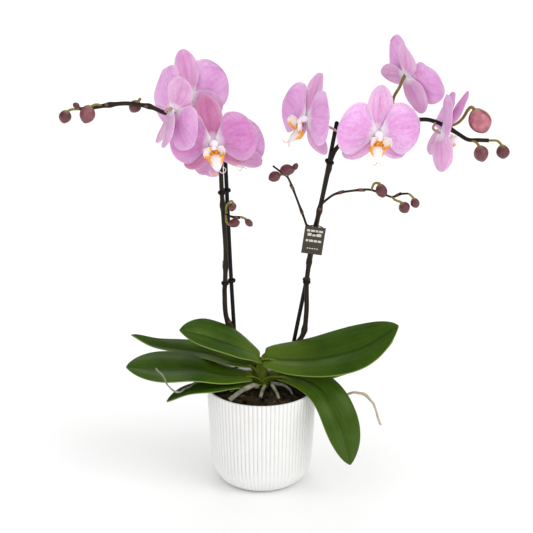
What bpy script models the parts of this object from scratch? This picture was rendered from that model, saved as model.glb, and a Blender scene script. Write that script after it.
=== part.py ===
"""Potted moth orchid: a fluted cover pot with a grow pot, bark and roots, a crown
of strap leaves, two flower spikes clipped to stakes, buds and eight open flowers.

Metres, +Z up. The origin is the middle of the pot's foot, on the floor, and -Y is
the side that the open flowers face. Points of the plant are listed in millimetres.
"""
import math

import bmesh
import bpy
from mathutils import Matrix, Vector

MM = 0.001
GAP = 0.3 * MM                    # air kept between pieces that touch

# Cover pot
POT_RADIUS = 70.5 * MM            # over the flutes, at the rim
POT_SHOULDER_RADIUS = 66.0 * MM   # over the flutes, where the wall turns in to the foot
POT_FOOT_RADIUS = 43.0 * MM
POT_HEIGHT = 130.0 * MM
POT_SHOULDER_HEIGHT = 38.0 * MM
POT_WALL = 3.4 * MM
POT_FLOOR = 5.0 * MM
FLUTES = 78
FLUTE_DEPTH = 1.1 * MM

# Clear grow pot and bark inside it
GROW_POT_WALL = 1.0 * MM
GROW_POT_CLEARANCE = 1.6 * MM     # between the grow pot and the cover pot's wall
GROW_POT_DROP = 6.0 * MM          # rim of the grow pot below the pot's rim
GROW_POT_FOOT_RADIUS = 37.0 * MM
BARK_DROP = 11.0 * MM             # bark surface below the pot's rim
BARK_LUMP = 1.6 * MM              # how far the bark surface rises and falls

# Crown and leaves
CROWN_HALF_WIDTH = 13.0 * MM
CROWN_HALF_DEPTH = 9.0 * MM
CROWN_HEIGHT = 40.0 * MM
LEAF_THICKNESS = 1.8 * MM

# Stakes, spikes and roots
STAKE_RADIUS = 2.6 * MM
STAKE_DEPTH = 70.0 * MM           # length of a stake inside the bark
SPIKE_RADIUS = 2.1 * MM
BRANCH_RADIUS = 1.5 * MM
PEDICEL_RADIUS = 1.3 * MM
CLIP_HEIGHT = 5.0 * MM
CLIP_WALL = 1.4 * MM

# Tag
TAG_WIDTH = 26.0 * MM
TAG_HEIGHT = 36.0 * MM
TAG_THICKNESS = 0.8 * MM

# Flower: sizes of one open flower
PETAL_LENGTH = 49.0 * MM
PETAL_HALF_WIDTH = 33.0 * MM
DORSAL_LENGTH = 57.0 * MM
DORSAL_HALF_WIDTH = 17.0 * MM
LATERAL_LENGTH = 48.0 * MM
LATERAL_HALF_WIDTH = 15.0 * MM
TEPAL_THICKNESS = 0.9 * MM
COLUMN_RADIUS = 3.6 * MM
COLUMN_LENGTH = 9.0 * MM
LIP_THROAT = 6.0 * MM             # reach of the lip between its lobes
LIP_SIDE_LENGTH = 8.0 * MM        # of a side lobe past the throat, along the flower
LIP_SIDE_RISE = 13.0 * MM         # how far a side lobe stands up
LIP_MIDDLE_LENGTH = 17.0 * MM
LIP_MIDDLE_RISE = 15.0 * MM

BARK_TOP = POT_HEIGHT - BARK_DROP


# ---------------------------------------------------------------- helpers

def clear_scene():
    """Remove every object that the start-up file brings."""
    for thing in list(bpy.data.objects):
        bpy.data.objects.remove(thing)


def material(name, colour, roughness, metallic=0.0, transmission=0.0):
    """A plain Principled material."""
    made = bpy.data.materials.new(name)
    made.use_nodes = True
    made.diffuse_color = (*colour, 1.0)
    shader = made.node_tree.nodes["Principled BSDF"]
    shader.inputs["Base Color"].default_value = (*colour, 1.0)
    shader.inputs["Roughness"].default_value = roughness
    shader.inputs["Metallic"].default_value = metallic
    shader.inputs["Transmission Weight"].default_value = transmission
    return made


def add_object(name, data, finish=None):
    """Link a mesh or a curve to the scene as an object."""
    made = bpy.data.objects.new(name, data)
    bpy.context.scene.collection.objects.link(made)
    if finish is not None:
        data.materials.clear()
        data.materials.append(finish.copy())
        data.materials[0].name = name
    return made


def mesh_from(bm, name, smooth=True):
    """Turn a bmesh into a mesh."""
    bmesh.ops.recalc_face_normals(bm, faces=bm.faces)
    data = bpy.data.meshes.new(name)
    bm.to_mesh(data)
    bm.free()
    if smooth:
        data.shade_smooth()
        data.set_sharp_from_angle(angle=math.radians(50))
    return data


def baked(thing):
    """The mesh of an object as its modifiers leave it; the object itself is removed."""
    depsgraph = bpy.context.evaluated_depsgraph_get()
    depsgraph.update()
    data = bpy.data.meshes.new_from_object(thing.evaluated_get(depsgraph))
    data.transform(thing.matrix_world)
    bpy.data.objects.remove(thing)
    return data


def combined(name, meshes, finish, operation="UNION"):
    """One object from a first mesh and the meshes joined to it or cut from it."""
    body = add_object(name, meshes[0])
    tools = []
    for index, data in enumerate(meshes[1:]):
        tool = add_object(f"{name}_tool_{index}", data)
        cut = body.modifiers.new(tool.name, "BOOLEAN")
        cut.operation = operation
        cut.solver = "MANIFOLD"
        cut.object = tool
        tools.append(tool)
    result = baked(body)
    for tool in tools:
        bpy.data.objects.remove(tool)
    return add_object(name, closed(result), finish)


def triangulated(data):
    """A mesh with its faces made triangles."""
    bm = bmesh.new()
    bm.from_mesh(data)
    bmesh.ops.triangulate(bm, faces=bm.faces)
    return mesh_from(bm, data.name)


def at_plant(x, y, z):
    """A point of the plant: millimetres from the middle of the bark's surface."""
    return Vector((x * MM, y * MM, BARK_TOP + z * MM))


def smooth_path(points, step):
    """Points about one step apart on a smooth curve through the given points."""
    ends = [points[0] * 2 - points[1], *points, points[-1] * 2 - points[-2]]
    path = []
    for a, b, c, d in zip(ends, ends[1:], ends[2:], ends[3:]):
        count = max(1, round((c - b).length / step))
        for i in range(count):
            t = i / count
            path.append(0.5 * (2 * b + (c - a) * t + (2 * a - 5 * b + 4 * c - d) * t * t
                               + (3 * b - a - 3 * c + d) * t ** 3))
    path.append(points[-1].copy())
    return path


def tube(path, radius, end_radius=None, sides=8):
    """The mesh of a round rod along a path, tapering evenly to its end radius."""
    curve = bpy.data.curves.new("tube", "CURVE")
    curve.dimensions = "3D"
    curve.bevel_depth = radius
    curve.bevel_resolution = (sides - 4) // 2
    curve.use_fill_caps = True
    spline = curve.splines.new("POLY")
    spline.points.add(len(path) - 1)
    last = 1.0 if end_radius is None else end_radius / radius
    for i, (point, place) in enumerate(zip(spline.points, path)):
        point.co = (*place, 1.0)
        point.radius = 1.0 + (last - 1.0) * i / (len(path) - 1)
    return closed(baked(add_object("tube", curve)))


def closed(data):
    """A mesh with its matching edges welded and its faces turned outwards."""
    bm = bmesh.new()
    bm.from_mesh(data)
    bmesh.ops.remove_doubles(bm, verts=bm.verts, dist=0.00001)
    return mesh_from(bm, data.name)


def revolved(profile, segments, wave=None):
    """A solid turned from (radius, height) points; wave(angle) scales the flute depth."""
    bm = bmesh.new()
    rings = []
    for radius, height, depth in profile:
        ring = []
        for i in range(segments):
            angle = 2 * math.pi * i / segments
            r = radius - (depth * wave(i) if wave else 0.0)
            ring.append(bm.verts.new((r * math.cos(angle), r * math.sin(angle), height)))
        rings.append(ring)
    for low, high in zip(rings, rings[1:]):
        for i in range(segments):
            j = (i + 1) % segments
            bm.faces.new((low[i], low[j], high[j], high[i]))
    bm.faces.new(list(reversed(rings[0])))
    bm.faces.new(rings[-1])
    return mesh_from(bm, "turned")


def ellipsoid(centre, axis, length, width, segments=8, rings=6, point=0.0):
    """An egg with its long axis along axis; point sharpens its far end."""
    bm = bmesh.new()
    bmesh.ops.create_uvsphere(bm, u_segments=segments, v_segments=rings, radius=1.0)
    for vert in bm.verts:
        narrow = 1.0 - point * max(0.0, vert.co.z) ** 2
        vert.co.x *= width / 2 * narrow
        vert.co.y *= width / 2 * narrow
        vert.co.z *= length / 2
    turn = axis.normalized().to_track_quat("Z", "Y").to_matrix().to_4x4()
    bmesh.ops.transform(bm, matrix=Matrix.Translation(centre) @ turn, verts=bm.verts)
    return mesh_from(bm, "egg")


def blade_mesh(rows, thickness):
    """A thin closed sheet from rows of points, thickened to both sides."""
    bm = bmesh.new()
    grid = [[bm.verts.new(point) for point in row] for row in rows]
    for near, far in zip(grid, grid[1:]):
        for i in range(len(near) - 1):
            bm.faces.new((near[i], near[i + 1], far[i + 1], far[i]))
    sheet = add_object("blade", mesh_from(bm, "blade"))
    wall = sheet.modifiers.new("wall", "SOLIDIFY")
    wall.thickness = thickness
    wall.offset = 0.0
    wall.use_even_offset = False
    return baked(sheet)


def stretched(share):
    """A share of a length, with its steps closing up towards the tip, which is rounder."""
    return 1.0 - (1.0 - share) ** 1.6


def outline(t, widest, base, tip=0.2):
    """Share of the full half width at t, 0 to 1 along a leaf, petal or sepal."""
    if t < widest:
        return base + (1.0 - base) * math.sin(math.pi / 2 * t / widest) ** 1.2
    over = (t - widest) / (1.0 - widest)
    return max(tip, math.sqrt(max(0.0, 1.0 - over ** 2.2)))


# ---------------------------------------------------------------- pot, bark, crown

def pot_radius(height):
    """Outer radius of the cover pot over its flutes."""
    if height >= POT_SHOULDER_HEIGHT:
        share = (height - POT_SHOULDER_HEIGHT) / (POT_HEIGHT - POT_SHOULDER_HEIGHT)
        return POT_SHOULDER_RADIUS + (POT_RADIUS - POT_SHOULDER_RADIUS) * share
    drop = 1.0 - height / POT_SHOULDER_HEIGHT
    return POT_FOOT_RADIUS + (POT_SHOULDER_RADIUS - POT_FOOT_RADIUS) * math.sqrt(1.0 - drop * drop)


def build_pot(finish):
    """Cover pot: a fluted shell with a closed floor."""
    heights = [0.0, 0.02, 0.11, 0.3, 0.6, 1.0]
    levels = [share * POT_SHOULDER_HEIGHT for share in heights] + [POT_HEIGHT]
    outer = [(pot_radius(z), z, 0.0 if z == 0.0 else FLUTE_DEPTH) for z in levels]
    inner = [(pot_radius(z) - POT_WALL, z, 0.0) for z in [POT_FLOOR, *levels[3:-1], POT_HEIGHT]]
    rise = POT_HEIGHT + 10 * MM
    inner[0] = (pot_radius(POT_FLOOR) - POT_WALL - 2 * MM, POT_FLOOR, 0.0)
    inner.append((inner[-1][0], rise, 0.0))
    shell = revolved(outer, 2 * FLUTES, wave=lambda i: i % 2)
    combined("pot", [shell, revolved(inner, 48)], finish, "DIFFERENCE")


def grow_pot_radius(height):
    """Outer radius of the grow pot, which tapers to its foot."""
    top = POT_HEIGHT - GROW_POT_DROP
    rim = pot_radius(top) - FLUTE_DEPTH - POT_WALL - GROW_POT_CLEARANCE
    share = (height - POT_FLOOR) / (top - POT_FLOOR)
    return GROW_POT_FOOT_RADIUS + (rim - GROW_POT_FOOT_RADIUS) * share


def build_grow_pot(finish):
    """Thin clear pot that the roots grow in; it stands on the cover pot's floor."""
    low = POT_FLOOR + GAP
    top = POT_HEIGHT - GROW_POT_DROP
    outer = [(grow_pot_radius(z), z, 0.0) for z in (low, top)]
    inner = [(grow_pot_radius(z) - GROW_POT_WALL, z, 0.0) for z in (low + GROW_POT_WALL, top)]
    inner.append((inner[-1][0], top + 5 * MM, 0.0))
    combined("grow_pot", [revolved(outer, 40), revolved(inner, 40)], finish, "DIFFERENCE")


def build_bark(finish, stakes):
    """Bark mix: fills the grow pot, with a lumpy top and a hole for each stake."""
    low = POT_FLOOR + GROW_POT_WALL + 2 * GAP
    segments = 40
    bm = bmesh.new()
    profile = [(grow_pot_radius(z) - GROW_POT_WALL - GAP, z) for z in (low, BARK_TOP)]
    rings = [[bm.verts.new((r * math.cos(2 * math.pi * i / segments),
                            r * math.sin(2 * math.pi * i / segments), z))
              for i in range(segments)] for r, z in profile]
    rim = profile[-1][0]
    for k, share in enumerate((0.86, 0.66, 0.45)):
        ring = []
        for i in range(segments):
            angle = 2 * math.pi * i / segments
            lump = math.sin(3.0 * i + 7.0 * k) * math.cos(1.7 * i + 2.0 * k) * (k < 2)
            ring.append(bm.verts.new((rim * share * math.cos(angle), rim * share * math.sin(angle),
                                      BARK_TOP + BARK_LUMP * lump)))
        rings.append(ring)
    for below, above in zip(rings, rings[1:]):
        for i in range(segments):
            j = (i + 1) % segments
            bm.faces.new((below[i], below[j], above[j], above[i]))
    bm.faces.new(list(reversed(rings[0])))
    bm.faces.new(rings[-1])
    holes = [tube(path, STAKE_RADIUS + 3 * GAP) for path in stakes]
    combined("bark_mix", [mesh_from(bm, "bark"), *holes], finish, "DIFFERENCE")


def build_crown(finish):
    """Crown: the short stem with its clasping leaf bases, standing on the bark."""
    bm = bmesh.new()
    segments = 16
    rings = []
    for share, width in ((0.0, 0.62), (0.2, 0.9), (0.5, 1.0), (0.8, 0.86), (1.0, 0.5)):
        z = BARK_TOP + GAP + CROWN_HEIGHT * share
        rings.append([bm.verts.new((CROWN_HALF_WIDTH * width * math.cos(2 * math.pi * i / segments),
                                    CROWN_HALF_DEPTH * width * math.sin(2 * math.pi * i / segments), z))
                      for i in range(segments)])
    for below, above in zip(rings, rings[1:]):
        for i in range(segments):
            j = (i + 1) % segments
            bm.faces.new((below[i], below[j], above[j], above[i]))
    bm.faces.new(list(reversed(rings[0])))
    bm.faces.new(rings[-1])
    add_object("crown", mesh_from(bm, "crown"), finish)


# ---------------------------------------------------------------- leaves

LEAVES = {
    # name: midrib points, half width and where it is widest, roll and fold at base and tip
    "leaf_upper_left": (((-3, -3, 47), (-26, -11, 64), (-50, -21, 79), (-74, -31, 91), (-102, -38, 101)),
                        32, 0.55, (18, 24), (14, 8)),
    "leaf_upper_right": (((3, -3, 48), (44, -11, 49), (86, -20, 58), (128, -26, 74), (171, -30, 104)),
                         36, 0.6, (28, 36), (14, 2)),
    "leaf_mid_left": (((-14, 3, 36), (-38, 4, 39), (-66, 21, 42), (-104, 36, 42), (-140, 41, 47),
                       (-170, 45, 61)),
                      20, 0.38, (8, 0), (24, 22)),
    "leaf_lower_left": (((-15, -7, 24), (-48, -15, 30), (-86, -20, 40), (-128, -25, 43), (-171, -28, 47)),
                        33, 0.6, (0, 14), (4, 6)),
    "leaf_short_left": (((-17, -14, 14), (-42, -26, 20), (-68, -36, 21), (-96, -44, 19), (-119, -52, 10)),
                        17, 0.5, (6, 0), (10, 10)),
    "leaf_back_right": (((17, 1, 21), (41, 2, 16), (67, 17, 16), (100, 44, 18), (138, 72, 26),
                         (176, 94, 36)),
                        30, 0.6, (6, 6), (8, 8)),
}

# The drooping leaf hangs over the rim, so its midrib is given by azimuth in degrees,
# distance past the rim and height over the rim.
DROOPING_LEAF = ((-16, -41, 15), (-21, -14, 15), (-26, 11, 10), (-29, 30, -4), (-31, 45, -27),
                 (-30, 53, -53), (-29, 58, -84))


def leaf_rows(spine, half_width, widest, roll, fold, rows=11, columns=4, base=0.34):
    """Rows of points over a folded strap leaf."""
    shares = [stretched(i / (rows - 1)) for i in range(rows)]
    path = resampled(spine, shares)
    heading = (spine[-1] - spine[0]).normalized()
    level = heading.cross(Vector((0, 0, 1)))
    grid = []
    for i, place in enumerate(path):
        t = shares[i]
        lean = math.radians(fold[0] + (fold[1] - fold[0]) * t)
        ahead = (path[min(i + 1, rows - 1)] - path[max(i - 1, 0)]).normalized()
        side = (level - ahead * level.dot(ahead)).normalized()
        turn = math.radians(roll[0] + (roll[1] - roll[0]) * t)
        side.rotate(Matrix.Rotation(turn if side.y < 0 else -turn, 3, ahead))
        over = side.cross(ahead)
        half = half_width * MM * outline(t, widest, base)
        row = []
        for k in range(columns + 1):
            across = 2 * k / columns - 1
            row.append(place + side * (across * half * math.cos(lean))
                       + over * (abs(across) * half * math.sin(lean)))
        grid.append(row)
    return grid


def resampled(points, shares):
    """Points at shares of the length of the smooth curve through the given points."""
    fine = smooth_path(points, 2 * MM)
    lengths = [0.0]
    for a, b in zip(fine, fine[1:]):
        lengths.append(lengths[-1] + (b - a).length)
    path = []
    for share in shares:
        target = lengths[-1] * share
        k = max(j for j, reach in enumerate(lengths) if reach <= target + 1e-9)
        if k == len(fine) - 1:
            path.append(fine[-1].copy())
            continue
        past = (target - lengths[k]) / (lengths[k + 1] - lengths[k])
        path.append(fine[k].lerp(fine[k + 1], past))
    return path


def build_leaves(finish):
    """Seven strap leaves."""
    for name, (midrib, half, widest, roll, fold) in LEAVES.items():
        spine = [at_plant(*point) for point in midrib]
        rows = leaf_rows(spine, half, widest, roll, fold)
        add_object(name, triangulated(blade_mesh(rows, LEAF_THICKNESS)), finish)
    spine = []
    for azimuth, beyond, rise in DROOPING_LEAF:
        angle = math.radians(azimuth)
        reach = POT_RADIUS + beyond * MM
        spine.append(Vector((reach * math.cos(angle), reach * math.sin(angle), POT_HEIGHT + rise * MM)))
    rows = leaf_rows(spine, 25, 0.58, (20, 32), (10, 4))
    add_object("leaf_drooping_right", triangulated(blade_mesh(rows, LEAF_THICKNESS)), finish)


# ---------------------------------------------------------------- roots

ROOTS = {
    # name: points, radius at the crown and at the tip (mm)
    "root_thick_left": (((-6, -15, 15), (-13, -24, 19), (-23, -32, 18), (-32, -38, 14),
                         (-39, -42, 9)), 3.2, 2.6),
    "root_middle": (((4, -15, 16), (2, -19, 14), (0, -24, 9), (-1, -30, 5)), 2.4, 2.0),
    "root_right": (((13, -14, 16), (17, -20, 13), (20, -27, 9), (22, -33, 5)), 2.4, 1.6),
    "aerial_root_left": (((-98, -60, 28), (-108, -62, 28), (-115, -63, 36), (-121, -64, 48), (-127, -64, 56),
                          (-131, -64, 61)), 1.6, 1.1),
}

# This root leaves the bark and crosses the rim: azimuth, distance past the rim, height over it.
AERIAL_ROOT_RIGHT = ((-12, -6, 7), (-9, 6, 4), (-7, 20, -4), (-7, 37, -9), (-8, 50, -4), (-9, 64, -7),
                     (-10, 73, -15), (-11, 79, -28), (-12, 85, -43))


def build_roots(finish):
    """Silver roots over the bark and two aerial roots."""
    for name, (points, start, end) in ROOTS.items():
        path = smooth_path([at_plant(*point) for point in points], 7 * MM)
        add_object(name, tube(path, start * MM, end * MM, 6), finish)
    points = []
    for azimuth, beyond, rise in AERIAL_ROOT_RIGHT:
        angle = math.radians(azimuth)
        reach = POT_RADIUS + beyond * MM
        points.append(Vector((reach * math.cos(angle), reach * math.sin(angle), POT_HEIGHT + rise * MM)))
    add_object("aerial_root_right", tube(smooth_path(points, 8 * MM), 2.2 * MM, 1.4 * MM, 6), finish)


# ---------------------------------------------------------------- stakes, spikes, clips

STAKES = {
    "stake_left": ((-31, 22, -8), (-36, 20, 92), (-40, 18, 180), (-45, 16, 318)),
    "stake_right": ((30, 24, -5), (42, 22, 64), (57, 20, 147), (70, 17, 226), (92, 12, 354)),
}

SPIKES = {
    "spike_left": ((-13, 15, 40), (-26, 15, 66), (-44, 14, 94), (-47, 14, 130), (-46, 9, 148), (-45, 8, 190),
                   (-47, 7, 230), (-49, 7, 266), (-51, 7, 308), (-58, 8, 336), (-72, 8, 356), (-91, 6, 365),
                   (-112, 3, 367), (-122, 0, 371), (-134, -2, 377), (-148, -4, 380), (-163, -6, 382),
                   (-180, -8, 381), (-202, -10, 378), (-218, -11, 376)),
    "spike_right": ((14, 15, 38), (32, 15, 50), (52, 14, 72), (57, 13, 105), (57, 11, 145), (60, 10, 176),
                    (63, 9, 205), (70, 7, 234), (76, 6, 264), (82, 4, 294), (86, 5, 311), (95, 10, 325),
                    (121, 16, 340), (158, 18, 350), (194, 14, 357), (210, 10, 356), (225, 6, 350),
                    (238, 2, 343), (251, -2, 336), (263, -4, 336), (276, -6, 336)),
}

BRANCHES = {
    "branch_left": ((-49, 2, 239), (-42, -4, 240), (-34, -8, 239), (-24, -11, 240), (-19, -12, 238)),
    "branch_right_inner": ((62, 3, 224), (56, -2, 227), (53, -6, 236), (45, -11, 259), (36, -15, 284),
                           (31, -17, 294), (25, -19, 299), (14, -20, 308)),
    "branch_right_outer": ((77, 0, 257), (81, -5, 262), (88, -9, 268), (97, -12, 272), (110, -15, 275),
                           (124, -17, 277), (134, -18, 277), (152, -20, 271), (160, -21, 269),
                           (169, -22, 273), (179, -23, 274)),
}

BUDS = {
    # stem: list of (pedicel points, bud centre, bud length and width in mm)
    "spike_left": (
        (((-218, -11, 376), (-228, -12, 376), (-234, -12, 373)), (-236, -12, 367), 17, 15),
        (((-190, -9, 380), (-199, -12, 382), (-207, -14, 378)), (-209, -15, 371), 23, 19),
        (((-150, -4, 381), (-146, -1, 386), (-147, 2, 385)), (-153, 3, 376), 17, 15),
        (((-215, -11, 377), (-219, -12, 379)), (-222, -12, 381), 9, 7),
    ),
    "branch_left": (
        (((-40, -4, 240), (-37, -9, 247)), (-36, -10, 253), 12, 11),
        (((-42, -4, 240), (-38, -9, 236)), (-34, -12, 231), 14, 13),
        (((-24, -11, 240), (-19, -12, 238)), (-14, -13, 234), 12, 11),
    ),
    "branch_right_inner": (
        (((28, -18, 297), (21, -21, 297)), (16, -22, 295), 16, 13),
        (((29, -18, 297), (31, -20, 300)), (31, -20, 303), 14, 18),
        (((31, -17, 294), (38, -16, 301)), (41, -16, 306), 10, 7),
    ),
    "branch_right_outer": (
        (((134, -18, 277), (137, -21, 286), (143, -23, 287)), (146, -24, 278), 18, 14),
        (((158, -21, 270), (163, -24, 266), (170, -26, 264)), (174, -26, 257), 15, 14),
        (((179, -23, 274), (184, -25, 270)), (187, -26, 263), 13, 11),
    ),
    "spike_right": (
        (((226, 6, 350), (237, 2, 355), (244, -1, 363), (249, -3, 373), (255, -4, 378), (261, -4, 375)),
         (263, -4, 360), 33, 28),
        (((251, -2, 336), (260, -6, 334), (265, -8, 328)), (267, -8, 320), 20, 20),
        (((276, -6, 336), (286, -8, 336), (292, -10, 330)), (293, -10, 323), 18, 16),
    ),
}


def build_stakes(finish):
    """Two thin stakes pushed into the bark; returns their paths, foot first."""
    paths = []
    for name, points in STAKES.items():
        path = [at_plant(*point) for point in points]
        ahead = (path[1] - path[0]).normalized()
        path.insert(0, path[0] - ahead * STAKE_DEPTH)
        add_object(name, tube(smooth_path(path, 45 * MM), STAKE_RADIUS), finish)
        paths.append([path[0] - ahead * MM, path[1] + ahead * 30 * MM])
    return paths


def build_spikes(finish):
    """Two flower spikes and their side branches, each with its buds."""
    stems = [(name, points, SPIKE_RADIUS) for name, points in SPIKES.items()]
    stems += [(name, points, BRANCH_RADIUS) for name, points in BRANCHES.items()]
    for name, points, radius in stems:
        path = smooth_path([at_plant(*point) for point in points], 22 * MM)
        meshes = [tube(path, radius, 0.75 * radius, 6)]
        for stalk, centre, length, width in BUDS[name]:
            stalk_points = [at_plant(*point) for point in stalk]
            middle = at_plant(*centre)
            stalk_points.append(middle)
            meshes.append(tube(smooth_path(stalk_points, 9 * MM), PEDICEL_RADIUS, None, 6))
            axis = middle - stalk_points[-2]
            meshes.append(ellipsoid(middle, axis, length * MM, width * MM, 8, 6, 0.25))
        combined(name, meshes, finish)


CLIPS = {
    # name: middle of the stake and of the stem where they are held together (mm)
    "clip_left_upper": ((-43, 17, 266), (-49, 7, 266)),
    "clip_left_lower": ((-38, 19, 146), (-46, 9.3, 146)),
    "clip_right_upper": ((83, 14, 305), (84, 4.5, 305)),
    "clip_right_lower": ((57, 20, 147), (57, 11, 147)),
}


def build_clips(finish):
    """Plastic bands that hold each spike to its stake."""
    for name, (stake_point, stem_point) in CLIPS.items():
        first = at_plant(*stake_point)
        second = at_plant(*stem_point)
        along = (second - first).normalized()
        wide = Vector((0, 0, 1)).cross(along).normalized()
        inner = STAKE_RADIUS + 2 * GAP + 0.6 * MM
        bm = bmesh.new()
        loops = []
        for radius, rise in ((inner + CLIP_WALL, 0), (inner + CLIP_WALL, 1), (inner, 1), (inner, 0)):
            loop = []
            for i in range(12):
                angle = 2 * math.pi * i / 12 + math.pi / 12
                middle = second if math.cos(angle) > 0 else first
                place = middle + along * radius * math.cos(angle) + wide * radius * math.sin(angle)
                place.z += (rise - 0.5) * CLIP_HEIGHT
                loop.append(bm.verts.new(place))
            loops.append(loop)
        for here, there in zip(loops, loops[1:] + loops[:1]):
            for i in range(12):
                j = (i + 1) % 12
                bm.faces.new((here[i], here[j], there[j], there[i]))
        add_object(name, mesh_from(bm, name, smooth=False), finish)


def build_tag(finish):
    """Care tag: a card on a loop round the right spike and its stake."""
    centre = at_plant(64.5, -6, 208)
    bm = bmesh.new()
    bmesh.ops.create_cube(bm, size=1.0)
    bmesh.ops.scale(bm, vec=(TAG_WIDTH, TAG_THICKNESS, TAG_HEIGHT), verts=bm.verts)
    tilt = Matrix.Rotation(math.radians(8), 4, "Y")
    bmesh.ops.transform(bm, matrix=Matrix.Translation(centre) @ tilt, verts=bm.verts)
    card = mesh_from(bm, "card", smooth=False)
    hub = at_plant(66, 10, 217)
    turns = 14
    ring = [hub + Vector((11.5 * MM * math.cos(2 * math.pi * i / turns),
                          16.5 * MM * math.sin(2 * math.pi * i / turns), 0)) for i in range(turns)]
    loop = ring_mesh(ring, 0.9 * MM)
    combined("tag", [card, loop], finish)


def ring_mesh(points, radius):
    """The mesh of a closed loop of thin rod."""
    curve = bpy.data.curves.new("ring", "CURVE")
    curve.dimensions = "3D"
    curve.bevel_depth = radius
    curve.bevel_resolution = 0
    spline = curve.splines.new("POLY")
    spline.points.add(len(points) - 1)
    spline.use_cyclic_u = True
    for point, place in zip(spline.points, points):
        point.co = (*place, 1.0)
    return closed(baked(add_object("ring", curve)))


# ---------------------------------------------------------------- flowers

FLOWERS = {
    # name: centre (mm), direction it faces, direction of its top, pedicel points back to the stem
    "flower_front_left": ((-57, -32, 341), (0.05, -0.97, -0.12), (-0.05, 0, 1),
                          ((-58, -10, 334), (-60, 0, 336), (-61, 5.0, 338))),
    "flower_upper_left": ((-86, 30, 382), (0.41, 0.87, -0.28), (-0.29, 0.41, 0.87),
                          ((-93, 16, 384), (-102, 6, 379), (-109, 4, 372))),
    "flower_side_left": ((-102, -44, 385), (0.8, 0.58, -0.08), (0.3, -0.42, 0.85),
                         ((-112, -42, 383), (-113, -26, 377), (-106, -8, 368), (-98, 1.7, 366))),
    "flower_behind_left": ((-42, 40, 312), (0.33, 0.94, 0.11), (-0.45, 0.1, 0.9),
                           ((-48, 26, 324), (-52, 16, 326), (-56, 11.5, 326))),
    "flower_inner_right": ((54, -15, 365), (-0.83, -0.5, 0.2), (0.25, 0, 0.95),
                           ((68, -4, 358), (84, 2, 350), (97, 5, 341), (104, 10.5, 334))),
    "flower_front_right": ((139, -34, 352), (0.24, -0.97, -0.05), (0.06, 0, 1),
                           ((134, -8, 346), (136, 4, 346), (140, 14, 347))),
    "flower_upper_right": ((175, 2, 415), (0.8, 0.44, 0.41), (-0.05, -0.63, 0.78),
                           ((166, -4, 402), (159, 4, 382), (158, 15, 354))),
    "flower_far_right": ((219, -8, 346), (0.96, 0.15, -0.23), (0.2, 0.17, 0.96),
                         ((208, -2, 350), (203, 8, 355))),
}

# Azimuth in the flower's plane and lean towards its face, both in degrees, of each tepal.
OPEN_TEPALS = {"dorsal": (90, 0), "petal_left": (168, 0), "petal_right": (12, 0),
               "lateral_left": (-142, -4), "lateral_right": (-38, -4)}

# Tepals that stand otherwise, on the flowers that are not flat open.
TURNED_TEPALS = {
    "flower_front_left": {"dorsal": (97, 0), "lateral_left": (-136, -4)},
    "flower_side_left": {"dorsal": (97, -10), "petal_left": (187, 0), "petal_right": (20, 0),
                         "lateral_left": (-138, -20), "lateral_right": (-98, -8)},
    "flower_upper_left": {"dorsal": (98, 0)},
    "flower_inner_right": {"petal_left": (171, 0), "petal_right": (22, 0),
                           "lateral_left": (-140, -14), "lateral_right": (-40, -14)},
    "flower_behind_left": {"lateral_right": (-10, -10)},
    "flower_upper_right": {"petal_left": (168, 14), "petal_right": (3, 14)},
    "flower_far_right": {"dorsal": (93, 0), "petal_left": (140, 2), "petal_right": (96, 19),
                         "lateral_left": (-118, 10), "lateral_right": (-32, 4)},
}


def tepal(length, half, widest, place, start, bend, cup, lift, rows=6, columns=4, base=0.25):
    """A petal or sepal in the flower's own axes: X right, Y to its top, Z out of its face."""
    azimuth, lean = place
    turn = Matrix.Rotation(math.radians(azimuth), 4, "Z") @ Matrix.Rotation(math.radians(-lean), 4, "Y")
    grid = []
    for i in range(rows):
        t = stretched(i / (rows - 1))
        share = outline(t, widest, base)
        row = []
        for k in range(columns + 1):
            w = 2 * k / columns - 1
            reach = start + length * t * (1.0 - 0.05 * w * w)
            rise = lift + bend * t * t + cup * (w * share) ** 2
            row.append(turn @ Vector((reach, half * share * w, rise)))
        grid.append(row)
    return blade_mesh(grid, TEPAL_THICKNESS)


def placed(data, frame):
    """A mesh moved from the flower's own axes into place."""
    data.transform(frame)
    data.update()
    return data


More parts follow.
